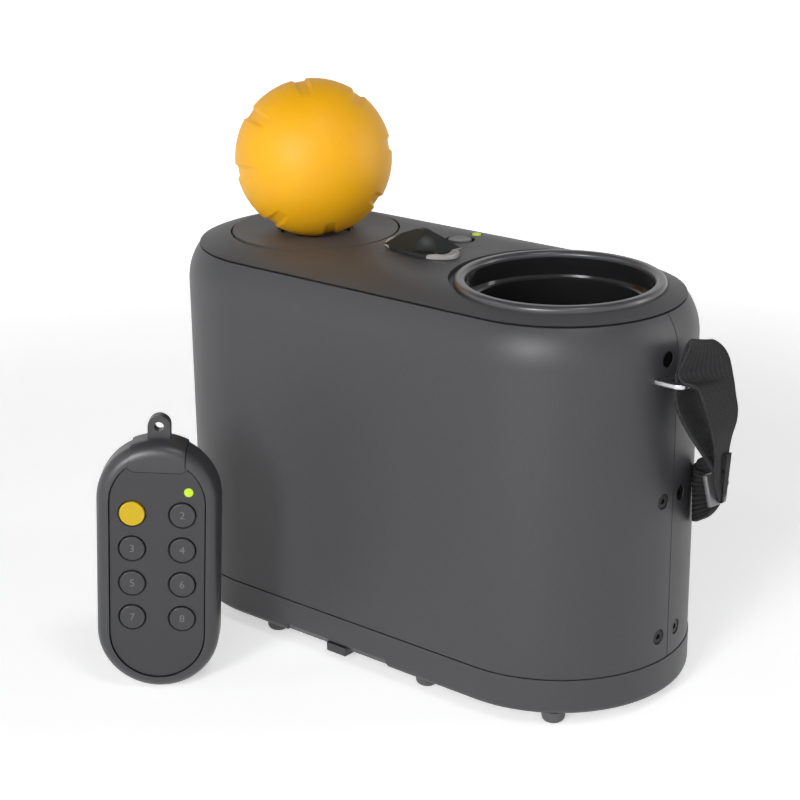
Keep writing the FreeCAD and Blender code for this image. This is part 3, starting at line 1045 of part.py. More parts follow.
def make_rack():
    """Rack bar that the sector gear pulls down, screwed to the cup's arm."""
    pitch = math.pi * RACK_MODULE
    tip_x = RACK_PITCH_X - ADDENDUM * RACK_MODULE
    root_x = RACK_PITCH_X + DEDENDUM * RACK_MODULE
    half, slope = pitch / 4 - BACKLASH / 4, math.tan(PRESSURE)
    half_root = half + DEDENDUM * RACK_MODULE * slope
    half_tip = half - ADDENDUM * RACK_MODULE * slope
    points = []
    for tooth in range(-1, math.ceil(CUP_STROKE / pitch) + 2):
        z = SECTOR_Z + (tooth + 0.5) * pitch
        points += [(root_x, z - half_root), (tip_x, z - half_tip), (tip_x, z + half_tip),
                   (root_x, z + half_root)]
    bottom, top = points[0][1] - BITE, points[-1][1] + BITE
    points += [(root_x, top), (RACK_BACK_X, top), (RACK_BACK_X, bottom), (root_x, bottom)]
    save("cocking_rack", sheet(points, -EAR_HALF_W, EAR_HALF_W))


# ---------------------------------------------------------------- strap, ring and slider
def ring_plate(grow=0.0, slotted=False):
    """Flat strap ring at height 0, solid unless it is slotted."""
    half = STRAP_W / 2 + RING_SIDE + RING_BAR + grow
    outer_x = WALL_X + RING_REACH
    plate = box(WALL_X - RING_IN - 2 * grow, outer_x + grow, -half, half, -RING_PLATE_T / 2 - grow,
                RING_PLATE_T / 2 + grow)
    if not slotted:
        return plate
    corners = [e for e in edges_along(plate, Vector(0, 0, 1)) if e.BoundBox.XMin > WALL_X]
    plate = plate.makeFillet(RING_CORNER, corners)
    rims = [e for e in plate.Edges if e.BoundBox.XMin > outer_x - RING_CORNER - BITE
            and e.BoundBox.ZLength < RING_EDGE]
    plate = plate.makeFillet(RING_EDGE, rims)
    slot = box(outer_x - RING_BAR - RING_SLOT_L, outer_x - RING_BAR, -half + RING_BAR,
               half - RING_BAR, -RING_PLATE_T, RING_PLATE_T)
    return plate.cut(slot)


def make_ring():
    save("strap_ring", ring_plate(slotted=True).translated(Vector(0, 0, RING_SLOT_Z)))


def closed_curve(points):
    curve = Part.BSplineCurve()
    curve.interpolate(Points=[in_xz(x, z) for x, z in points], PeriodicFlag=True)
    return curve


def by_slot(x, z):
    """Place given outwards and upwards from the middle of the ring's slot."""
    return RING_SLOT_X + x, RING_SLOT_Z + z


def strap_band():
    """Closed loop of webbing, as wide as the strap all the way round."""
    route = [by_slot(x, z) for x, z in STRAP_FOLD + STRAP_OUTER + STRAP_LOBE + STRAP_INNER]
    middle = closed_curve(route)
    count = STRAP_STEPS * len(route)
    first, last = middle.FirstParameter, middle.LastParameter
    sides = {1: [], -1: []}
    for i in range(count):
        t = first + (last - first) * i / count
        point, along = middle.value(t), middle.tangent(t)[0]
        for side in sides:
            offset = side * STRAP_T / 2
            sides[side].append((point.x + offset * along.z, point.z - offset * along.x))
    loops = [Part.Face(Part.Wire(closed_curve(sides[side]).toShape())) for side in (1, -1)]
    loops.sort(key=lambda face: face.Area)
    across = Vector(0, STRAP_W, 0)
    inner, outer = [face.translated(across * -0.5).extrude(across) for face in loops]
    return outer.cut(inner)


def slider(grow=0.0):
    """Plate and rivets that hold the gathered strap, with the rivets' heads behind the strap."""
    low, high = GATHER_Y - SLIDER_OVER, STRAP_W / 2 + SLIDER_OVER
    plate = box(-SLIDER_T / 2, SLIDER_T / 2, low, high, -SLIDER_L / 2, SLIDER_L / 2)
    plate = plate.makeFillet(SLIDER_EDGE, edges_along(plate, Vector(0, 1, 0)))
    back = SLIDER_T / 2 + STRAP_T + EASE
    pieces, width = [plate], STRAP_W / 2 - GATHER_Y
    for share in (RIVET_SHARE, 1 - RIVET_SHARE):
        foot = Vector(0, GATHER_Y + share * width, 0)
        pieces.append(Part.makeCylinder(RIVET_R + grow, back + BITE, foot, Vector(1, 0, 0)))
        pieces.append(Part.makeCylinder(RIVET_HEAD_R + grow, RIVET_HEAD_T, foot + Vector(back, 0, 0),
                                        Vector(1, 0, 0)))
    whole = fuse(*pieces).rotated(Vector(), Vector(0, 1, 0), -SLIDER_TILT)
    x, z = by_slot(*SLIDER_AT)
    return whole.translated(Vector(x, 0, z))


def make_strap():
    """Loop of webbing that hangs through the ring, gathered where the slider holds it."""
    high, low = by_slot(0, GATHER_TOP)[1], by_slot(0, GATHER_END)[1]
    half = STRAP_W / 2 + OVER
    room = [(-half, high), (GATHER_Y, low), (GATHER_Y, 0), (half, 0), (half, 2 * DECK_Z),
            (-half, 2 * DECK_Z)]
    room = polar(sheet(room, -2 * WALL_X, 2 * WALL_X), 90)
    x, bottom = by_slot(TAIL_OUT, TAIL_Z[0])
    tail = box(x, x + STRAP_T, GATHER_Y, STRAP_W / 2, bottom, by_slot(0, TAIL_Z[1])[1])
    save("carry_strap", fuse(strap_band().common(room), tail).cut(slider(PIN_PLAY)))
    save("strap_slider", slider())


# ---------------------------------------------------------------- remote control
def pill(inset, y0, y1, top=None):
    """Upright pill shape of the remote in its own frame, from depth y0 to y1."""
    r = REMOTE_W / 2 - inset
    low, high = REMOTE_W / 2, REMOTE_H - REMOTE_W / 2
    solid = sheet([(-r, low), ("arc", (0.0, low - r), (r, low)), (r, high),
                   ("arc", (0.0, high + r), (-r, high))], y0, y1)
    if top is not None:
        solid = solid.common(box(-REMOTE_W, REMOTE_W, y0, y1, 0, top))
    return solid


def stand(shape):
    """Put a piece of the remote where the remote stands, leaning on its round end."""
    leaning = shape.rotated(Vector(0, 0, REMOTE_W / 2), Vector(0, 1, 0), REMOTE_LEAN)
    return polar(leaning, REMOTE_TURN).translated(Vector(REMOTE_X, REMOTE_Y, 0))


def rounded_pill(proud=0.0):
    depth = REMOTE_T / 2 + proud
    whole = pill(-proud, -depth, depth)
    rims = [e for e in whole.Edges if e.BoundBox.YLength < 0.01]
    return whole.makeFillet(REMOTE_EDGE_R + proud, rims)


def remote_hollow():
    return pill(REMOTE_WALL + REMOTE_HOLLOW_IN, FACE_BACK_Y, REMOTE_T / 2 - REMOTE_WALL)


def cap_block(grow):
    """Block that the remote's top cap fills."""
    return block(0, CAP_W / 2 + grow, 0, REMOTE_T, FACE_TOP_W + SILL_H + FIT - grow, LOOP_W)


def face_window(inset, drop, y0, y1):
    """Upright pill with a flat top under the cap's sill, whose ends slope up and out."""
    level = FACE_TOP_W - drop
    sill = [(-SILL_HALF, level), (SILL_HALF, level),
            (SILL_HALF + SILL_SLOPE * SILL_H, level + SILL_H),
            (SILL_HALF + SILL_SLOPE * SILL_H, REMOTE_H), (-SILL_HALF - SILL_SLOPE * SILL_H, REMOTE_H),
            (-SILL_HALF - SILL_SLOPE * SILL_H, level + SILL_H)]
    return pill(inset, y0, y1, level + SILL_H).cut(sheet(sill, y0, y1))


def key_places():
    return [(side * KEY_PITCH_U / 2, KEY_FIRST_W - row * KEY_PITCH_W)
            for row in range(KEY_ROWS) for side in (-1, 1)]


def make_remote_cases():
    whole = cut(rounded_pill(), remote_hollow(), cap_block(FIT))
    front = box(-REMOTE_W, REMOTE_W, -REMOTE_T, REMOTE_SPLIT_Y - SEAM_GAP / 4, 0, REMOTE_H)
    back = box(-REMOTE_W, REMOTE_W, REMOTE_SPLIT_Y + SEAM_GAP / 4, REMOTE_T, 0, REMOTE_H)
    window = face_window(FACE_INSET, 0.0, -REMOTE_T, FACE_BACK_Y + OVER)
    save("remote_bezel", stand(whole.common(front).cut(window)))
    save("remote_rear_shell", stand(whole.common(back)))


def make_face_panel():
    front = -REMOTE_T / 2 + FACE_DROP
    panel = face_window(FACE_INSET + FACE_GAP, FACE_GAP, front, FACE_BACK_Y)
    rims = [e for e in panel.Edges if e.BoundBox.YMax < front + 0.01]
    panel = panel.makeFillet(FACE_EDGE, rims)
    tools = [crosswise(KEY_R + KEY_GAP, -REMOTE_T, 0, u, w) for u, w in key_places()]
    lamp_w = FACE_TOP_W - LAMP_DROP
    tools.append(crosswise(LAMP_R, -REMOTE_T, 0, LAMP_U, lamp_w))
    panel = cut(panel, *tools)
    holes = [e for e in panel.Edges if e.BoundBox.YMax < front + 0.01 and len(e.Vertexes) == 1
             and e.Curve.Radius > KEY_R]
    save("remote_face_panel", stand(panel.makeChamfer(KEY_HOLE_EDGE, holes)))
    save("remote_light", stand(crosswise(LAMP_R, front - LAMP_RISE, FACE_BACK_Y, LAMP_U, lamp_w)))


def make_keys():
    front = -REMOTE_T / 2 + FACE_DROP - KEY_RISE
    for number, (u, w) in enumerate(key_places(), start=1):
        key = crosswise(KEY_R, front, KEY_BACK_Y, u, w)
        key = key.makeFillet(KEY_EDGE, [e for e in key.Edges if e.BoundBox.YMax < front + 0.01])
        save("remote_key_%d" % number, stand(key))


def make_cap():
    cap = rounded_pill(CAP_PROUD).common(cap_block(0.0)).cut(remote_hollow())
    loop = crosswise(LOOP_R, -LOOP_T / 2, LOOP_T / 2, 0, LOOP_W)
    neck = block(0, LOOP_R, 0, LOOP_T / 2, REMOTE_H - REMOTE_WALL, LOOP_W)
    hole = crosswise(LOOP_HOLE_R, -LOOP_T, LOOP_T, 0, LOOP_W)
    save("remote_loop_cap", stand(fuse(cap, loop, neck).cut(hole)))


def make_remote_inside():
    front, back = REMOTE_BOARD_Y, REMOTE_BOARD_Y + REMOTE_BOARD_T
    board = pill(REMOTE_WALL + REMOTE_BOARD_IN, front, back, FACE_TOP_W - REMOTE_BOARD_DROP)
    domes = [crosswise(DOME_R, front - DOME_H, front, u, w) for u, w in key_places()]
    save("remote_board", stand(fuse(board, *domes)))
    save("remote_cell", stand(crosswise(CELL_R, back, back + CELL_T, 0, CELL_W)))


os.makedirs("parts", exist_ok=True)
make_shells()
make_rails()
make_end_screws()
make_deck()
make_base()
make_base_screws()
make_feet()
make_door()
make_latch()
make_battery()
make_chassis()
make_electronics()
make_switches()
make_ball_sensors()
make_knob()
make_button_and_light()
make_ball_rest()
make_ball()
make_muzzle_ring()
make_barrel()
make_cup()
make_spring()
make_gears()
make_motor()
make_gearbox()
make_rack()
make_ring()
make_strap()
make_remote_cases()
make_face_panel()
make_keys()
make_cap()
make_remote_inside()
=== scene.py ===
import math

import bpy
from mathutils import Matrix, Vector


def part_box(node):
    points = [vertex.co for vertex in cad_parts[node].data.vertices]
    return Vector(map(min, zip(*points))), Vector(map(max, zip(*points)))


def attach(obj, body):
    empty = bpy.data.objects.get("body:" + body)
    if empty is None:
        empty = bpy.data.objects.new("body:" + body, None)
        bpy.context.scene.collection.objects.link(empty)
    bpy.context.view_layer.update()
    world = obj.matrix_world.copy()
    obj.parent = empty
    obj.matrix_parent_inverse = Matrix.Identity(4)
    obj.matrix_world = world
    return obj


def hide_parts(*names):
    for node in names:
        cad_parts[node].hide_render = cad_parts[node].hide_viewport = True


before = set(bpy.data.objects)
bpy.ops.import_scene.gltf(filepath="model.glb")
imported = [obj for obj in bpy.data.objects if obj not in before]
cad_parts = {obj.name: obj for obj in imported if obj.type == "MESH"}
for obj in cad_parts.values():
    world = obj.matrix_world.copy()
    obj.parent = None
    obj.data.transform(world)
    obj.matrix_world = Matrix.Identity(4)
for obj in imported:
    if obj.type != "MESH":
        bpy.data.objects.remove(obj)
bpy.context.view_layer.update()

bl_info = {
    "name": "Dog Ball Launcher",
    "version": (1, 0, 0),
    "blender": (4, 5, 0),
    "location": "View3D > Sidebar > Launcher",
    "description": "Dresses the ball launcher, its ball, its carry strap and its remote control",
    "category": "Object",
}

MM = 0.001


# ---------------------------------------------------------------- settings
class LauncherSettings(bpy.types.PropertyGroup):
    """Colours and sizes that a user would change on the launcher and its stage."""
    case_colour: bpy.props.FloatVectorProperty(
        name="Case", description="Colour of the textured case", subtype="COLOR",
        size=3, min=0, max=1, default=(0.044, 0.044, 0.048))
    deck_colour: bpy.props.FloatVectorProperty(
        name="Deck", description="Colour of the deck and the rings in it", subtype="COLOR",
        size=3, min=0, max=1, default=(0.062, 0.062, 0.066))
    ball_colour: bpy.props.FloatVectorProperty(
        name="Ball", description="Colour of the rubber ball", subtype="COLOR",
        size=3, min=0, max=1, default=(0.95, 0.46, 0.003))
    strap_colour: bpy.props.FloatVectorProperty(
        name="Strap", description="Colour of the webbing", subtype="COLOR",
        size=3, min=0, max=1, default=(0.016, 0.016, 0.017))
    accent_colour: bpy.props.FloatVectorProperty(
        name="Accent key", description="Colour of the first key", subtype="COLOR",
        size=3, min=0, max=1, default=(0.64, 0.43, 0.002))
    camera_place: bpy.props.FloatVectorProperty(
        name="Camera", description="Place of the camera", subtype="TRANSLATION", unit="LENGTH",
        size=3, default=(0.4794, -0.5977, 0.3729))
    camera_turn: bpy.props.FloatVectorProperty(
        name="Camera angles", description="Turn to the left, tilt down and roll", unit="ROTATION",
        size=3, default=(math.radians(39.734), math.radians(19.385), math.radians(-0.638)))
    camera_lens: bpy.props.FloatProperty(
        name="Lens", description="Focal length for a 36 mm sensor, in millimetres",
        default=89.07, min=10)
    camera_rise: bpy.props.FloatProperty(
        name="Shift", description="Upward shift of the camera's frame, as a share of its width",
        default=-0.008)


def settings():
    return bpy.context.scene.launcher


# ---------------------------------------------------------------- modelling helpers
def deselect():
    if bpy.context.mode != "OBJECT":
        bpy.ops.object.mode_set(mode="OBJECT")
    bpy.ops.object.select_all(action="DESELECT")


def node_middle(name):
    low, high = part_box(name)
    return (low + high) / 2


def select_faces(piece, chosen):
    """Select the faces whose middle passes the test, and go into edit mode."""
    deselect()
    bpy.context.view_layer.objects.active = piece
    piece.select_set(True)
    for part in (*piece.data.vertices, *piece.data.edges, *piece.data.polygons):
        part.select = False
    for face in piece.data.polygons:
        face.select = chosen(face.center)
    bpy.ops.object.mode_set(mode="EDIT")
    bpy.ops.mesh.select_mode(type="FACE")


def settle(piece, name):
    """Bake an object's place into its mesh."""
    deselect()
    bpy.context.view_layer.objects.active = piece
    piece.select_set(True)
    bpy.ops.object.transform_apply(location=True, rotation=True, scale=True)
    piece.name = name
    return piece


def with_modifier(piece, kind, **values):
    """Add a modifier and apply it."""
    bpy.context.view_layer.objects.active = piece
    made = piece.modifiers.new(kind.lower(), kind)
    for setting, value in values.items():
        setattr(made, setting, value)
    bpy.ops.object.modifier_apply(modifier=made.name)


def curve_point(points, share):
    """Point on a smooth closed curve through the points."""
    count = len(points)
    at = share * count
    i = int(math.floor(at))
    t = at - i
    a, b, c, d = (Vector(points[(i + k) % count]) for k in (-1, 0, 1, 2))
    return 0.5 * (2 * b + (c - a) * t + (2 * a - 5 * b + 4 * c - d) * t * t
                  + (3 * b - a - 3 * c + d) * t ** 3)


# ---------------------------------------------------------------- shader groups
def new_group(name, inputs, outputs):
    """Shader group with its sockets; returns the tree and its input and output nodes."""
    tree = bpy.data.node_groups.new(name, "ShaderNodeTree")
    for socket, kind, value in inputs:
        made = tree.interface.new_socket(name=socket, in_out="INPUT", socket_type=kind)
        made.default_value = value
    for socket, kind in outputs:
        tree.interface.new_socket(name=socket, in_out="OUTPUT", socket_type=kind)
    return tree, tree.nodes.new("NodeGroupInput"), tree.nodes.new("NodeGroupOutput")


def add(tree, kind, wires=(), **values):
    """Node with its settings; a value named after a socket sets it, and wires join inputs."""
    node = tree.nodes.new(kind)
    for name, value in values.items():
        if hasattr(node, name):
            setattr(node, name, value)
        else:
            node.inputs[name].default_value = value
    for socket, source in dict(wires).items():
        tree.links.new(source, node.inputs[socket])
    return node


def maths(tree, operation, a, b=None):
    node = add(tree, "ShaderNodeMath", operation=operation)
    for i, value in enumerate((a, b)):
        if value is None:
            continue
        if isinstance(value, (int, float)):
            node.inputs[i].default_value = value
        else:
            tree.links.new(value, node.inputs[i])
    return node.outputs[0]


def blended(tree, mode, factor, a, b):
    node = add(tree, "ShaderNodeMix", data_type="RGBA", blend_type=mode)
    for index, value in ((0, factor), (6, a), (7, b)):
        if isinstance(value, (int, float, tuple)):
            node.inputs[index].default_value = value
        else:
            tree.links.new(value, node.inputs[index])
    return node.outputs[2]


def grain_group():
    """Fine moulded grain: colour with light and dark specks, a roughness and a height."""
    uneven = 0.12           # how far the roughness strays from patch to patch
    tree, given, out = new_group(
        "moulded_grain",
        (("Colour", "NodeSocketColor", (0.1, 0.1, 0.1, 1)), ("Fineness", "NodeSocketFloat", 1200.0),
         ("Speck", "NodeSocketFloat", 0.3), ("Patches", "NodeSocketFloat", 0.06),
         ("Roughness", "NodeSocketFloat", 0.5)),
        (("Colour", "NodeSocketColor"), ("Roughness", "NodeSocketFloat"),
         ("Height", "NodeSocketFloat")))
    place = add(tree, "ShaderNodeTexCoord").outputs["Object"]
    fine = add(tree, "ShaderNodeTexNoise", {"Vector": place, "Scale": given.outputs["Fineness"]},
               Detail=3.0, Roughness=0.65).outputs["Fac"]
    broad = add(tree, "ShaderNodeTexNoise", {"Vector": place}, Scale=38.0,
                Detail=4.0).outputs["Fac"]
    speck = maths(tree, "MULTIPLY", maths(tree, "SUBTRACT", fine, 0.5), given.outputs["Speck"])
    patch = maths(tree, "MULTIPLY", maths(tree, "SUBTRACT", broad, 0.5), given.outputs["Patches"])
    level = maths(tree, "ADD", maths(tree, "ADD", speck, patch), 1.0)
    grey = add(tree, "ShaderNodeCombineColor",
               {"Red": level, "Green": level, "Blue": level}).outputs[0]
    shown = blended(tree, "MULTIPLY", 1.0, given.outputs["Colour"], grey)
    tree.links.new(shown, out.inputs["Colour"])
    rough = maths(tree, "ADD", given.outputs["Roughness"],
                  maths(tree, "MULTIPLY", maths(tree, "SUBTRACT", broad, 0.5), uneven))
    tree.links.new(rough, out.inputs["Roughness"])
    tree.links.new(fine, out.inputs["Height"])
    return tree


def rub_group():
    """Thin random rub marks, as handling leaves them on smooth plastic and metal."""
    tree, given, out = new_group(
        "rub_marks", (("Amount", "NodeSocketFloat", 0.5), ("Length", "NodeSocketFloat", 60.0)),
        (("Mask", "NodeSocketFloat"),))
    place = add(tree, "ShaderNodeTexCoord").outputs["Object"]
    bent = add(tree, "ShaderNodeTexNoise", {"Vector": place}, Scale=22.0,
               Detail=2.0).outputs["Color"]
    moved = add(tree, "ShaderNodeVectorMath", {0: place, 1: bent}, operation="ADD").outputs[0]
    lines = add(tree, "ShaderNodeTexVoronoi", {"Vector": moved, "Scale": given.outputs["Length"]},
                feature="DISTANCE_TO_EDGE").outputs["Distance"]
    thin = add(tree, "ShaderNodeMapRange", {"Value": lines}, **{"From Max": 0.012, "To Min": 1.0,
                                                               "To Max": 0.0}).outputs[0]
    broken = add(tree, "ShaderNodeTexNoise", {"Vector": place}, Scale=90.0,
                 Detail=3.0).outputs["Fac"]
    kept = add(tree, "ShaderNodeMapRange", {"Value": broken}, **{"From Min": 0.55,
                                                                "From Max": 0.7}).outputs[0]
    mask = maths(tree, "MULTIPLY", maths(tree, "MULTIPLY", thin, kept), given.outputs["Amount"])
    tree.links.new(mask, out.inputs["Mask"])
    return tree


def webbing_group():
    """Woven webbing on a UV map in millimetres: ribs along it and picks across it."""
    turns = 2 * math.pi
    slant = 1.2             # how far a rib pushes the picks along, as an angle
    rib_share, pick_share, middle = 0.3, 0.2, 0.5
    tree, given, out = new_group(
        "webbing_weave", (("Rib", "NodeSocketFloat", 1.9), ("Pick", "NodeSocketFloat", 0.9)),
        (("Height", "NodeSocketFloat"), ("Thread", "NodeSocketFloat")))
    uv = add(tree, "ShaderNodeTexCoord").outputs["UV"]
    apart = add(tree, "ShaderNodeSeparateXYZ", {0: uv})
    along, across = apart.outputs[0], apart.outputs[1]
    ribs = maths(tree, "DIVIDE", across, given.outputs["Rib"])
    rib = maths(tree, "COSINE", maths(tree, "MULTIPLY", ribs, turns))
    shift = maths(tree, "MULTIPLY", rib, slant)
    picks = maths(tree, "DIVIDE", along, given.outputs["Pick"])
    pick = maths(tree, "SINE", maths(tree, "ADD", maths(tree, "MULTIPLY", picks, turns), shift))
    both = maths(tree, "ADD", maths(tree, "MULTIPLY", rib, rib_share),
                 maths(tree, "MULTIPLY", pick, pick_share))
    height = maths(tree, "ADD", both, middle)
    tree.links.new(height, out.inputs["Height"])
    # mask of the threads' tops, which get a painted highlight
    thread = add(tree, "ShaderNodeMapRange", {"Value": height}).outputs[0]
    tree.links.new(thread, out.inputs["Thread"])
    return tree


GROUPS = {}


def placed_group(tree, name, **values):
    node = tree.nodes.new("ShaderNodeGroup")
    node.node_tree = GROUPS[name]
    for socket, value in values.items():
        node.inputs[socket].default_value = value
    return node


# ---------------------------------------------------------------- finishes
RUB_GAIN, RUB_LIFT = 1.8, 0.03      # colour of a rub mark: a gain on the finish's own, and a lift
RUB_ROUGHER = 0.2


def bare_finish(name):
    made = bpy.data.materials.new(name)
    made.use_nodes = True
    return made, made.node_tree, made.node_tree.nodes["Principled BSDF"]


def grained(name, colour, roughness, fineness=1200.0, speck=0.3, depth=0.00002, bump=0.4, rubs=0.0,
            rub_colour=None, **shader_values):
    """Moulded, painted or metal finish with grain, soft patches and, if asked for, rub marks."""
    made, tree, shader = bare_finish(name)
    grain = placed_group(tree, "grain", Colour=(*colour, 1.0), Fineness=fineness, Speck=speck,
                         Roughness=roughness)
    shown, rough = grain.outputs["Colour"], grain.outputs["Roughness"]
    if rubs:
        marks = placed_group(tree, "rubs", Amount=rubs).outputs["Mask"]
        if rub_colour is None:
            rub_colour = tuple(min(1.0, c * RUB_GAIN + RUB_LIFT) for c in colour)
        shown = blended(tree, "MIX", marks, shown, (*rub_colour, 1.0))
        rough = maths(tree, "ADD", rough, maths(tree, "MULTIPLY", marks, RUB_ROUGHER))
    tree.links.new(shown, shader.inputs["Base Color"])
    tree.links.new(rough, shader.inputs["Roughness"])
    bumps = add(tree, "ShaderNodeBump", {"Height": grain.outputs["Height"]}, Strength=bump,
                Distance=depth)
    tree.links.new(bumps.outputs[0], shader.inputs["Normal"])
    for socket, value in shader_values.items():
        shader.inputs[socket.replace("_", " ")].default_value = value
    return made


def dress(made, *nodes):
    """Give CAD nodes a finish."""
    for name in nodes:
        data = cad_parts[name].data
        data.materials.clear()
        data.materials.append(made)


# ---------------------------------------------------------------- operators
class LAUNCHER_OT_stage(bpy.types.Operator):
    """Pale floor, plain soft light and the camera"""
    bl_idname = "launcher.stage"
    bl_label = "Stage"

    FLOOR_SIDE, FLOOR_GREY = 8.0, 0.86
    DIFFUSE_CUT = 0.7       # share of the room's and the floor's glow that diffuse rays don't get
    # Name, place, aim, size, power and spread in degrees of each lamp
    LAMPS = (
        ("front_softbox", (0.2, -1.25, 0.5), (0.01, -0.05, 0.09), (0.7, 0.6), 0.66, 26),
        ("room_softbox", (0.5, -1.3, 0.8), (0, 0, 0.12), (0.7, 0.6), 4.5, 180),
        ("left_softbox", (-1.0, -1.1, 1.3), (0, 0, 0.1), (0.3, 0.25), 2.0, 180),
        ("top_softbox", (0.65, -0.3, 1.3), (0.05, 0, 0.1), (0.3, 0.25), 3.0, 180),
        ("end_softbox", (1.4, 1.1, 0.5), (0.1, 0, 0.1), (0.3, 1.2), 7.0, 180))

    def softened(self, tree, rays, level):
        """A level of light that is cut down for diffuse rays."""
        cut = maths(tree, "MULTIPLY", rays.outputs["Is Diffuse Ray"], self.DIFFUSE_CUT)
        return maths(tree, "MULTIPLY", level, maths(tree, "SUBTRACT", 1.0, cut))

    def lay_floor(self):
        """Pale floor that keeps shadows and glows white further out."""
        bpy.ops.mesh.primitive_plane_add(size=self.FLOOR_SIDE, location=(0, 0, 0))
        floor = bpy.context.object
        floor.name = "stage_floor"
        made = bpy.data.materials.new("pale_floor")
        made.use_nodes = True
        tree = made.node_tree
        tree.nodes.clear()
        out = add(tree, "ShaderNodeOutputMaterial")
        matt = add(tree, "ShaderNodeBsdfDiffuse", Color=(*[self.FLOOR_GREY] * 3, 1))
        rays = add(tree, "ShaderNodeLightPath")
        place = add(tree, "ShaderNodeTexCoord").outputs["Object"]
        reach = add(tree, "ShaderNodeVectorMath", {0: place}, operation="LENGTH").outputs["Value"]
        far = add(tree, "ShaderNodeMapRange", {"Value": reach}, interpolation_type="SMOOTHSTEP",
                  **{"From Min": 0.25, "From Max": 0.9, "To Min": 0.52, "To Max": 1.0}).outputs[0]
        glow = add(tree, "ShaderNodeEmission", {"Strength": self.softened(tree, rays, far)})
        both = add(tree, "ShaderNodeAddShader", {0: matt.outputs[0], 1: glow.outputs[0]})
        tree.links.new(both.outputs[0], out.inputs["Surface"])
        floor.data.materials.append(made)

    def light_room(self):
        """World that is white low down and darker overhead, and the lamps."""
        world = bpy.data.worlds.new("soft_room")
        bpy.context.scene.world = world
        world.use_nodes = True
        tree = world.node_tree
        back = tree.nodes["Background"]
        rays = add(tree, "ShaderNodeLightPath")
        white = maths(tree, "MAXIMUM", rays.outputs["Is Camera Ray"],
                      rays.outputs["Is Transmission Ray"])
        place = add(tree, "ShaderNodeTexCoord").outputs["Generated"]
        way = add(tree, "ShaderNodeSeparateXYZ", {0: place})
        rise = add(tree, "ShaderNodeMapRange", {"Value": way.outputs[2]},
                   interpolation_type="SMOOTHSTEP",
                   **{"From Min": 0.3, "From Max": 0.75, "To Min": 0.95, "To Max": 0.1}).outputs[0]
        tree.links.new(maths(tree, "MAXIMUM", white, self.softened(tree, rays, rise)),
                       back.inputs["Strength"])
        back.inputs["Color"].default_value = (1, 1, 1, 1)
        for name, place, aim, size, power, spread in self.LAMPS:
            bpy.ops.object.light_add(type="AREA", location=place)
            lamp = bpy.context.object
            lamp.name = name
            lamp.data.shape = "RECTANGLE"
            lamp.data.size, lamp.data.size_y = size
            lamp.data.energy = power
            lamp.data.spread = math.radians(spread)
            way = Vector(aim) - Vector(place)
            lamp.rotation_euler = way.to_track_quat("-Z", "Y").to_euler()

    def place_camera(self):
        """Camera at the place and angles of the settings."""
        chosen = settings()
        yaw, pitch, roll = chosen.camera_turn
        ahead = Vector((-math.sin(yaw) * math.cos(pitch), math.cos(yaw) * math.cos(pitch),
                        -math.sin(pitch)))
        right = Vector((math.cos(yaw), math.sin(yaw), 0))
        up = right.cross(ahead)
        across = right * math.cos(roll) + up * math.sin(roll)
        upward = up * math.cos(roll) - right * math.sin(roll)
        turn = Matrix((across, upward, -ahead)).transposed().to_4x4()
        bpy.ops.object.camera_add()
        camera = bpy.context.object
        camera.name = "launcher_camera"
        camera.matrix_world = Matrix.Translation(Vector(chosen.camera_place)) @ turn
        camera.data.sensor_width = 36.0
        camera.data.lens = chosen.camera_lens
        camera.data.shift_y = chosen.camera_rise
        camera.data.clip_start = 0.01
        bpy.context.scene.camera = camera

    def execute(self, context):
        deselect()
        self.lay_floor()
        self.light_room()
        self.place_camera()
        context.scene.view_settings.view_transform = "Standard"
        return {"FINISHED"}


class LAUNCHER_OT_case(bpy.types.Operator):
    """Textured case, base, battery door, feet and screws"""
    bl_idname = "launcher.case"
    bl_label = "Case and base"

    def execute(self, context):
        colour = tuple(settings().case_colour)
        satin = grained("case_satin", colour, 0.47, fineness=1500.0, speck=0.55, depth=0.00006,
                        bump=0.35, Specular_IOR_Level=0.55)
        dress(satin, "front_shell", "rear_shell", "base_tub", "battery_door")
        tab = grained("latch_satin", tuple(c * 0.8 for c in colour), 0.38, fineness=1500.0,
                      speck=0.2, bump=0.1)
        dress(tab, "door_latch")
        rubber = grained("foot_rubber", (0.085, 0.085, 0.088), 0.6, fineness=900.0, speck=0.2,
                         bump=0.2)
        dress(rubber, "rubber_feet")
        screw = grained("black_screw", (0.03, 0.03, 0.03), 0.35, Metallic=0.9)
        dress(screw, "end_screws", "base_screws")
        return {"FINISHED"}


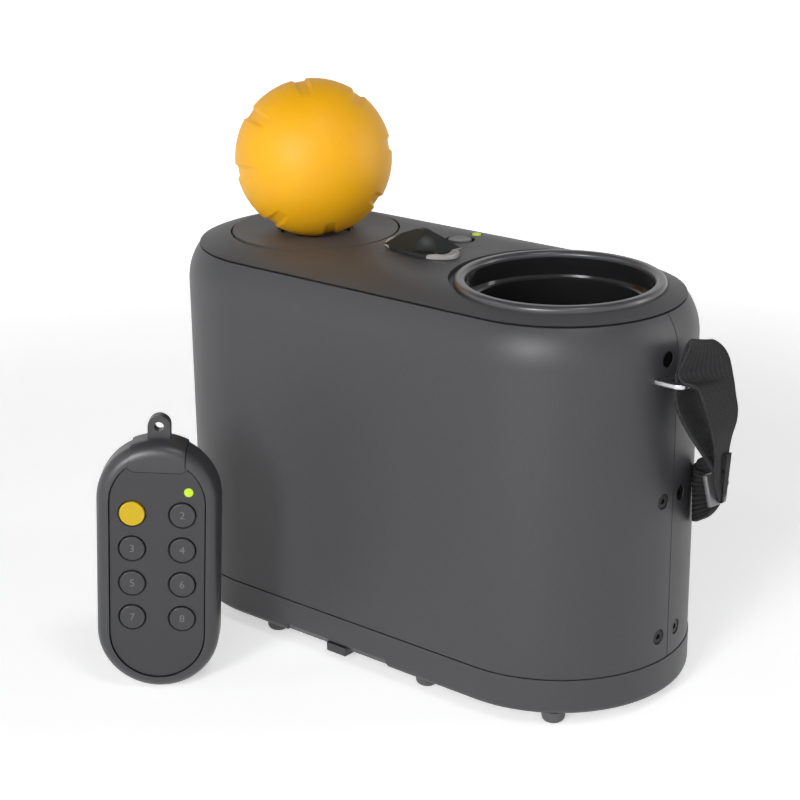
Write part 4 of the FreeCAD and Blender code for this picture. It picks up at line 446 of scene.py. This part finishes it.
class LAUNCHER_OT_deck(bpy.types.Operator):
    """Deck, ball rest, muzzle ring, barrel, knob, power button and light"""
    bl_idname = "launcher.deck"
    bl_label = "Deck and controls"

    KNOB_BASE_TOP = 165.54 * MM     # height of the edge between the knob's base and its wing
    KNOB_DARK_R = 13.6 * MM         # the base gets a pale painted reflection beyond this distance from the knob's middle
    # grey of the painted reflection on the ends of the knob's base
    KNOB_PALE = (0.36, 0.35, 0.34)
    MARK_WIDTH, MARK_DEPTH = 0.35, 0.06         # in millimetres
    # Worn print on the deck in front of the knob: middle and length of each mark, in millimetres
    PRINT = ((-15.2, -12.0, 1.3), (-13.2, -11.7, 0.9), (-11.5, -11.5, 1.5), (-9.2, -11.0, 1.1),
             (9.6, -10.6, 1.0), (11.4, -10.7, 1.6), (13.6, -10.7, 0.8), (15.4, -10.8, 1.4))

    def pale_ends(self, made, colour):
        """Paint a pale reflection into the knob's finish at the ends of its base."""
        tree = made.node_tree
        shader = tree.nodes["Principled BSDF"]
        shown = shader.inputs["Base Color"].links[0].from_socket
        place = add(tree, "ShaderNodeTexCoord").outputs["Object"]
        apart = add(tree, "ShaderNodeSeparateXYZ", {0: place})
        low = maths(tree, "LESS_THAN", apart.outputs[2], self.KNOB_BASE_TOP)
        middle = node_middle("selector_knob")
        away = add(tree, "ShaderNodeVectorMath", {0: place}, operation="DISTANCE")
        away.inputs[1].default_value = (middle.x, middle.y, self.KNOB_BASE_TOP)
        far = maths(tree, "GREATER_THAN", away.outputs["Value"], self.KNOB_DARK_R)
        # painted reflection: the base's ends, below the wing and beyond that distance
        ends = maths(tree, "MULTIPLY", low, far)
        tree.links.new(blended(tree, "MIX", ends, shown, (*colour, 1.0)),
                       shader.inputs["Base Color"])

    def print_marks(self):
        """Short worn marks printed on the deck in front of the knob."""
        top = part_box("ball_rest_cap")[1].z
        made = []
        for x, y, length in self.PRINT:
            bpy.ops.mesh.primitive_cube_add(size=1, location=(x * MM, y * MM, top))
            bpy.context.object.scale = (length * MM, self.MARK_WIDTH * MM, self.MARK_DEPTH * MM)
            made.append(settle(bpy.context.object, "print_mark"))
        deselect()
        for piece in made:
            piece.select_set(True)
        bpy.context.view_layer.objects.active = made[0]
        bpy.ops.object.join()
        made[0].name = "deck_print"
        made[0].data.materials.append(
            grained("print_grey", (0.30, 0.30, 0.31), 0.6, speck=0.8, bump=0.1))
        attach(made[0], "case")

    def execute(self, context):
        colour = tuple(settings().deck_colour)
        deck = grained("deck_satin", colour, 0.5, fineness=1500.0, speck=0.4, depth=0.00005,
                       bump=0.3, Specular_IOR_Level=0.55)
        dress(deck, "top_deck", "ball_rest_cap")
        ring = grained("ring_satin", tuple(c * 0.9 for c in colour), 0.3, speck=0.2, bump=0.1,
                       Specular_IOR_Level=0.7)
        dress(ring, "muzzle_ring")
        gloss = grained("black_gloss", (0.012, 0.012, 0.013), 0.16, speck=0.1, bump=0.03, rubs=0.3,
                        Coat_Weight=0.6, Coat_Roughness=0.08)
        dress(gloss, "launch_barrel")
        knob = grained("knob_satin", (0.013, 0.014, 0.014), 0.55, fineness=900.0, speck=0.2,
                       bump=0.05, rubs=0.3, Specular_IOR_Level=0.35)
        # the knob's base gets a pale painted reflection at its ends
        self.pale_ends(knob, self.KNOB_PALE)
        dress(knob, "selector_knob")
        button = grained("button_grey", (0.12, 0.12, 0.126), 0.4, speck=0.2, bump=0.1)
        dress(button, "power_button")
        lens = grained("lens_green", (0.55, 0.75, 0.02), 0.2, speck=0.1, bump=0.02,
                       Emission_Color=(0.62, 0.80, 0.03, 1), Emission_Strength=0.12)
        dress(lens, "status_light", "remote_light")
        self.print_marks()
        return {"FINISHED"}


class LAUNCHER_OT_remote(bpy.types.Operator):
    """Remote control with its keys"""
    bl_idname = "launcher.remote"
    bl_label = "Remote control"

    TURN, LEAN = math.radians(39.2), math.radians(2.9)
    PLACE = (-52.8 * MM, -109.3 * MM, 0)        # foot of the remote control's middle line
    KEY_FRONT = 8.3 * MM            # of the keys' faces, ahead of that line
    NUMERAL, NUMERAL_HALF = 4.4 * MM, 0.04 * MM     # size, and half its thickness
    NUMBERED = range(2, 9)          # the yellow first key has no number

    def numeral(self, i, paint):
        """Number on a key's face."""
        deselect()
        bpy.ops.object.text_add()
        text = bpy.context.object
        text.data.body = str(i)
        text.data.size = self.NUMERAL
        text.data.align_x, text.data.align_y = "CENTER", "CENTER"
        text.data.extrude = self.NUMERAL_HALF
        bpy.ops.object.convert(target="MESH")
        piece = bpy.context.object
        turn = (Matrix.Rotation(self.TURN, 4, "Z") @ Matrix.Rotation(self.LEAN, 4, "Y")
                @ Matrix.Rotation(math.pi / 2, 4, "X"))
        piece.rotation_euler = turn.to_euler()
        out = Vector((math.sin(self.TURN), -math.cos(self.TURN), 0))
        middle = node_middle("remote_key_%d" % i)
        ahead = out.dot(middle - Vector(self.PLACE))
        piece.location = middle + out * (self.KEY_FRONT - ahead)
        settle(piece, "numeral_%d" % i)
        piece.data.materials.append(paint)
        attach(piece, "key_%d" % i)

    def execute(self, context):
        colour = tuple(settings().case_colour)
        satin = grained("remote_satin", tuple(c * 0.85 for c in colour), 0.36, speck=0.15, bump=0.1,
                        Specular_IOR_Level=0.65)
        dress(satin, "remote_bezel", "remote_rear_shell", "remote_loop_cap")
        dress(grained("face_satin", tuple(c * 0.8 for c in colour), 0.5, speck=0.2, bump=0.15),
              "remote_face_panel")
        keys = grained("key_grey", tuple(c * 0.95 for c in colour), 0.42, speck=0.15, bump=0.1)
        dress(keys, *["remote_key_%d" % i for i in self.NUMBERED])
        dress(grained("key_yellow", tuple(settings().accent_colour), 0.42, speck=0.08, bump=0.1),
              "remote_key_1")
        paint = grained("numeral_grey", (0.17, 0.17, 0.175), 0.5, speck=0.2, bump=0.1)
        for i in self.NUMBERED:
            self.numeral(i, paint)
        return {"FINISHED"}


class LAUNCHER_OT_works(bpy.types.Operator):
    """Everything inside: cup, spring, gears, motor, battery and boards"""
    bl_idname = "launcher.works"
    bl_label = "Works inside"

    def execute(self, context):
        moulded = grained("dark_moulded", (0.03, 0.03, 0.032), 0.55, speck=0.3, bump=0.25)
        dress(moulded, "shell_rails", "chassis_plate", "launch_cup", "spring_seat", "rotary_switch",
              "ball_sensors", "cocking_rack")
        dress(grained("battery_wrap", (0.02, 0.05, 0.16), 0.3, speck=0.1, bump=0.1, rubs=0.3),
              "battery_pack")
        steel = grained("ground_steel", (0.55, 0.55, 0.56), 0.3, speck=0.15, bump=0.1, rubs=0.4,
                        Metallic=1.0)
        dress(steel, "sector_shaft", "reduction_shaft", "motor_pinion", "door_hinge_pin",
              "gearbox_standoffs", "launch_spring", "battery_contacts", "remote_cell", "gear_motor")
        dress(grained("sheet_aluminium", (0.62, 0.62, 0.63), 0.38, speck=0.15, bump=0.15, rubs=0.5,
                      Metallic=1.0), "gearbox_front_plate", "gearbox_rear_plate")
        dress(grained("turned_brass", (0.62, 0.44, 0.16), 0.28, speck=0.1, bump=0.1, Metallic=1.0),
              "shaft_bushings", "antenna")
        dress(grained("gear_nylon", (0.62, 0.60, 0.53), 0.45, speck=0.1, bump=0.1,
                      Subsurface_Weight=0.1), "sector_gear", "reduction_gear", "reduction_pinion")
        board = grained("board_green", (0.015, 0.10, 0.04), 0.35, speck=0.2, bump=0.1, rubs=0.8,
                        rub_colour=(0.03, 0.17, 0.07))
        dress(board, "control_board", "switch_board", "remote_board")
        return {"FINISHED"}


class LAUNCHER_OT_ball(bpy.types.Operator):
    """Rubber ball with short slots round its equator"""
    bl_idname = "launcher.ball"
    bl_label = "Ball"

    RADIUS, SLOTS = 32.5 * MM, 8
    AXIS = (math.radians(-40.9), math.radians(9.0))     # azimuth and elevation of a pole
    AROUND, UP = 288, 108           # faces round the ball and from pole to pole
    SLOT_HALF = math.radians(4.6)       # half a slot's width
    SLOT_WALL = math.radians(1.3)       # how far round a slot's wall runs
    SLOT_REACH = math.radians(37.0)     # how far from the equator a slot runs out
    PHASE, DEPTH = math.radians(8.0), 1.0 * MM      # place of the first slot, and a slot's depth

    def cut_depth(self, place):
        """How deep the slots are at a place on the ball."""
        step = 2 * math.pi / self.SLOTS
        turn = (math.atan2(place.y, place.x) - self.PHASE) / step
        aside = abs(turn - round(turn)) * step
        across = max(0.0, min(1.0, (self.SLOT_HALF - aside) / self.SLOT_WALL + 0.5))
        rise = math.asin(max(-1.0, min(1.0, place.z / place.length))) / self.SLOT_REACH
        return self.DEPTH * across * max(0.0, 1.0 - rise ** 4)

    def execute(self, context):
        deselect()
        bpy.ops.mesh.primitive_uv_sphere_add(segments=self.AROUND, ring_count=self.UP,
                                             radius=self.RADIUS)
        ball = context.object
        for point in ball.data.vertices:
            point.co *= 1.0 - self.cut_depth(point.co) / self.RADIUS
        azimuth, elevation = self.AXIS
        ball.rotation_euler = (0, math.pi / 2 - elevation, azimuth)
        ball.location = node_middle("play_ball")
        settle(ball, "ball_skin")
        bpy.ops.object.shade_smooth()
        rubber = grained("ball_rubber", tuple(settings().ball_colour), 0.5, fineness=700.0,
                         speck=0.06, bump=0.1, Subsurface_Weight=0.15, Specular_IOR_Level=0.45)
        ball.data.materials.append(rubber)
        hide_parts("play_ball")
        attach(ball, "ball")
        return {"FINISHED"}


class LAUNCHER_OT_strap(bpy.types.Operator):
    """Webbing strap, the metal ring it hangs through and the slider on it"""
    bl_idname = "launcher.strap"
    bl_label = "Carry strap"

    # Front and back edge of the strap at stations along its closed loop, in millimetres: up through
    # the ring, over the fold, down the outer run, round the lobe and up the inner run
    STATIONS = (
        ((121.0, -10.3, 136.0), (120.9, 10.3, 136.0)),
        ((121.6, -10.1, 141.5), (120.4, 10.3, 142.5)),
        ((123.4, -10.0, 147.5), (121.4, 10.4, 146.6)),
        ((125.6, -10.2, 152.2), (123.6, 10.4, 148.2)),
        ((127.8, -10.6, 154.4), (126.2, 10.4, 148.0)),
        ((127.7, -11.2, 151.0), (129.2, 10.5, 146.2)),
        ((125.5, -11.8, 145.2), (131.4, 10.5, 143.2)),
        ((124.1, -12.4, 140.6), (132.6, 10.5, 139.8)),
        ((126.6, -12.3, 138.2), (133.4, 10.5, 136.6)),
        ((131.6, -11.4, 137.2), (134.2, 10.5, 133.4)),
        ((133.9, -10.6, 132.4), (135.0, 10.5, 129.2)),
        ((135.7, -10.0, 126.9), (136.1, 10.5, 124.0)),
        ((137.1, -9.0, 121.3), (135.9, 10.5, 118.8)),
        ((137.5, -7.0, 115.0), (134.4, 10.5, 113.2)),
        ((137.0, -4.8, 109.1), (133.4, 10.5, 107.8)),
        ((136.6, -3.6, 103.9), (133.0, 10.5, 101.8)),
        ((136.2, -3.0, 98.1), (133.2, 10.8, 96.4)),
        ((136.2, -0.9, 93.0), (132.8, 11.8, 92.6)),
        ((134.7, 3.0, 88.2), (130.4, 13.4, 91.4)),
        ((130.4, 8.0, 82.6), (125.9, 15.6, 91.2)),
        ((124.4, 13.2, 76.6), (120.2, 18.2, 91.6)),
        ((118.4, 17.2, 72.2), (115.6, 20.0, 91.6)),
        ((114.3, 20.2, 69.6), (113.4, 20.4, 92.0)),
        ((114.8, 20.9, 72.4), (113.5, 20.9, 94.8)),
        ((119.0, 20.4, 76.4), (116.6, 20.6, 96.8)),
        ((124.6, 16.4, 80.4), (122.4, 18.6, 97.4)),
        ((130.0, 9.0, 84.6), (128.0, 15.0, 97.0)),
        ((134.0, 1.8, 89.4), (131.4, 11.2, 96.6)),
        ((134.2, 0.4, 94.6), (132.2, 10.6, 98.2)),
        ((133.0, -0.2, 99.6), (131.7, 10.5, 101.4)),
        ((131.0, -1.8, 104.6), (130.6, 10.5, 105.2)),
        ((128.6, -4.4, 110.0), (128.2, 10.4, 110.4)),
        ((126.2, -7.6, 116.2), (125.4, 10.4, 116.2)),
        ((123.8, -9.6, 122.0), (123.2, 10.3, 122.0)),
        ((121.8, -10.3, 127.2), (121.6, 10.3, 127.2)),
        ((120.9, -10.3, 132.0), (120.8, 10.3, 132.0)))
    # The free end beside the outer run: its corners from the lower front one round
    TAIL = ((134.6, 2.0, 88.6), (131.2, 10.8, 86.6), (132.7, 10.8, 105.6), (135.6, 2.0, 108.2))
    WIDTH, RIB_DEPTH = 21.0, 0.22   # in millimetres
    THICK, WELD = 1.5 * MM, 0.02 * MM       # thickness, and the gap closed at the loop's ends
    STEPS, TAIL_ROWS = 8, 12        # rows between two stations, and in the free end
    RIBS, RIB_FACES = 11, 4         # ribs across the strap, and faces across a rib
    WORN = 2.4                      # painted highlight: how much lighter the threads' tops are
    # The slider: its sides and middle in millimetres, and how it leans and turns
    PLATE, PLATE_AT = (2.2, 9.0, 12.4), (131.9, 3.2, 93.2)
    TILT, SLEW = math.radians(15.0), math.radians(-9.0)
    PLATE_EDGE = 0.7 * MM
    RIVET_R, RIVET_FLAT = 1.3 * MM, 0.35        # radius, and height as a share of it
    RIVETS = ((-1.1 * MM, -2.4 * MM, 0), (-1.1 * MM, 2.4 * MM, 0))

    def woven_sheet(self, rows, edge_points):
        """Ribbed sheet from a grid; edge_points gives the two ends of each row."""
        columns = self.RIBS * self.RIB_FACES
        deselect()
        bpy.ops.mesh.primitive_grid_add(x_subdivisions=columns, y_subdivisions=rows, size=1)
        piece = bpy.context.object
        edges = [edge_points(row) for row in range(rows + 1)]
        along, length = [0.0], 0.0
        for (a0, b0), (a1, b1) in zip(edges, edges[1:]):
            length += ((a1 + b1) - (a0 + b0)).length / 2
            along.append(length)
        for point in piece.data.vertices:
            row = min(rows, max(0, round((point.co.y + 0.5) * rows)))
            column = round((point.co.x + 0.5) * columns)
            near, far = edges[row]
            before, after = edges[max(row - 1, 0)], edges[min(row + 1, rows)]
            way = (after[0] + after[1]) - (before[0] + before[1])
            out = way.cross(far - near).normalized()
            share = column / columns
            height = self.RIB_DEPTH * (0.5 - 0.5 * math.cos(2 * math.pi * share * self.RIBS))
            point.co = ((near + (far - near) * share) + out * height) * MM
        weave = piece.data.uv_layers.active.data
        for loop in piece.data.loops:
            u, v = weave[loop.index].uv
            weave[loop.index].uv = (along[round(v * rows)], u * self.WIDTH)
        return piece

    def slider(self):
        """Rounded plate that the gathered strap runs over, and its two rivets."""
        deselect()
        bpy.ops.mesh.primitive_cube_add(size=1)
        plate = bpy.context.object
        plate.scale = [side * MM for side in self.PLATE]
        settle(plate, "slider_plate")
        select_faces(plate, lambda place: True)
        bpy.ops.mesh.bevel(offset=self.PLATE_EDGE, segments=4)
        bpy.ops.object.mode_set(mode="OBJECT")
        made = [plate]
        for place in self.RIVETS:
            bpy.ops.mesh.primitive_uv_sphere_add(segments=24, ring_count=12, radius=self.RIVET_R,
                                                 location=place)
            bpy.context.object.scale = (self.RIVET_FLAT, 1, 1)
            made.append(settle(bpy.context.object, "slider_rivet"))
        deselect()
        for piece in made:
            piece.select_set(True)
        bpy.context.view_layer.objects.active = plate
        bpy.ops.object.join()
        plate.rotation_euler = (0, -self.TILT, self.SLEW)
        plate.location = [value * MM for value in self.PLATE_AT]
        settle(plate, "slider_plate")
        bpy.ops.object.shade_smooth()
        plate.data.materials.append(
            grained("slider_grey", (0.19, 0.19, 0.195), 0.42, speck=0.25, bump=0.25, rubs=0.4,
                    Metallic=0.5))
        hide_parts("strap_slider")
        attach(plate, "case")

    def dress_band(self, band):
        """Give the strap its woven finish, with a painted highlight on the threads' tops."""
        cloth, tree, shader = bare_finish("webbing_black")
        weave = placed_group(tree, "webbing")
        colour = tuple(settings().strap_colour)
        # painted highlight: the threads' tops are lighter than the webbing's colour
        lit = tuple(c * self.WORN for c in colour)
        shown = blended(tree, "MIX", weave.outputs["Thread"], (*colour, 1.0), (*lit, 1.0))
        tree.links.new(shown, shader.inputs["Base Color"])
        bumps = add(tree, "ShaderNodeBump", {"Height": weave.outputs["Height"]}, Strength=0.9,
                    Distance=0.0003)
        tree.links.new(bumps.outputs[0], shader.inputs["Normal"])
        shader.inputs["Roughness"].default_value = 0.75
        shader.inputs["Specular IOR Level"].default_value = 0.2
        band.data.materials.append(cloth)

    def execute(self, context):
        near, far = zip(*self.STATIONS)
        rows, tail_rows = len(self.STATIONS) * self.STEPS, self.TAIL_ROWS
        band = self.woven_sheet(rows, lambda row: (curve_point(near, row / rows),
                                                   curve_point(far, row / rows)))
        a, b, c, d = (Vector(corner) for corner in self.TAIL)
        tail = self.woven_sheet(tail_rows, lambda row: (a.lerp(d, row / tail_rows),
                                                        b.lerp(c, row / tail_rows)))
        bpy.context.view_layer.objects.active = band
        deselect()
        band.select_set(True)
        tail.select_set(True)
        bpy.ops.object.join()
        select_faces(band, lambda place: True)
        bpy.ops.mesh.remove_doubles(threshold=self.WELD)
        bpy.ops.object.mode_set(mode="OBJECT")
        with_modifier(band, "SOLIDIFY", thickness=self.THICK, offset=1.0)
        settle(band, "strap_webbing")
        bpy.ops.object.shade_smooth()
        self.dress_band(band)
        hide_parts("carry_strap")
        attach(band, "case")
        metal = grained("ring_steel", (0.62, 0.62, 0.63), 0.28, speck=0.1, bump=0.1, rubs=0.5,
                        Metallic=1.0)
        dress(metal, "strap_ring")
        self.slider()
        return {"FINISHED"}


class LAUNCHER_OT_pad(bpy.types.Operator):
    """Soft pad with a rounded rim in the launch cup"""
    bl_idname = "launcher.pad"
    bl_label = "Cup pad"

    EDGE = 0.5 * MM         # radius of the rim

    def execute(self, context):
        low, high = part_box("cup_pad")
        depth = high.z - low.z
        deselect()
        bpy.ops.mesh.primitive_cylinder_add(vertices=96, radius=(high.x - low.x) / 2, depth=depth)
        pad = context.object
        select_faces(pad, lambda place: place.z > 0.4 * depth)      # the top face alone
        bpy.ops.mesh.bevel(offset=self.EDGE, segments=4)
        bpy.ops.object.mode_set(mode="OBJECT")
        pad.location = (low + high) / 2
        settle(pad, "pad_skin")
        bpy.ops.object.shade_smooth()
        pad.data.materials.append(
            grained("pad_foam", (0.04, 0.04, 0.042), 0.85, fineness=500.0, speck=0.4, bump=0.5))
        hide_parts("cup_pad")
        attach(pad, "cup")
        return {"FINISHED"}


class LAUNCHER_PT_pieces(bpy.types.Panel):
    """Lists the launcher's pieces"""
    bl_idname = "LAUNCHER_PT_pieces"
    bl_label = "Ball launcher"
    bl_space_type = "VIEW_3D"
    bl_region_type = "UI"
    bl_category = "Launcher"

    def draw(self, context):
        for name in LauncherSettings.__annotations__:
            self.layout.prop(settings(), name)
        for piece in PIECES:
            self.layout.operator(piece.bl_idname)


PIECES = (LAUNCHER_OT_stage, LAUNCHER_OT_case, LAUNCHER_OT_deck, LAUNCHER_OT_remote,
          LAUNCHER_OT_works, LAUNCHER_OT_ball, LAUNCHER_OT_strap, LAUNCHER_OT_pad)
CLASSES = (LauncherSettings, *PIECES, LAUNCHER_PT_pieces)


def register():
    for made in CLASSES:
        bpy.utils.register_class(made)
    bpy.types.Scene.launcher = bpy.props.PointerProperty(type=LauncherSettings)


def unregister():
    del bpy.types.Scene.launcher
    for made in reversed(CLASSES):
        bpy.utils.unregister_class(made)


def main():
    register()
    GROUPS.update(grain=grain_group(), rubs=rub_group(), webbing=webbing_group())
    for piece in PIECES:
        group, name = piece.bl_idname.split(".")
        getattr(getattr(bpy.ops, group), name)()


if __name__ == "__main__":
    main()
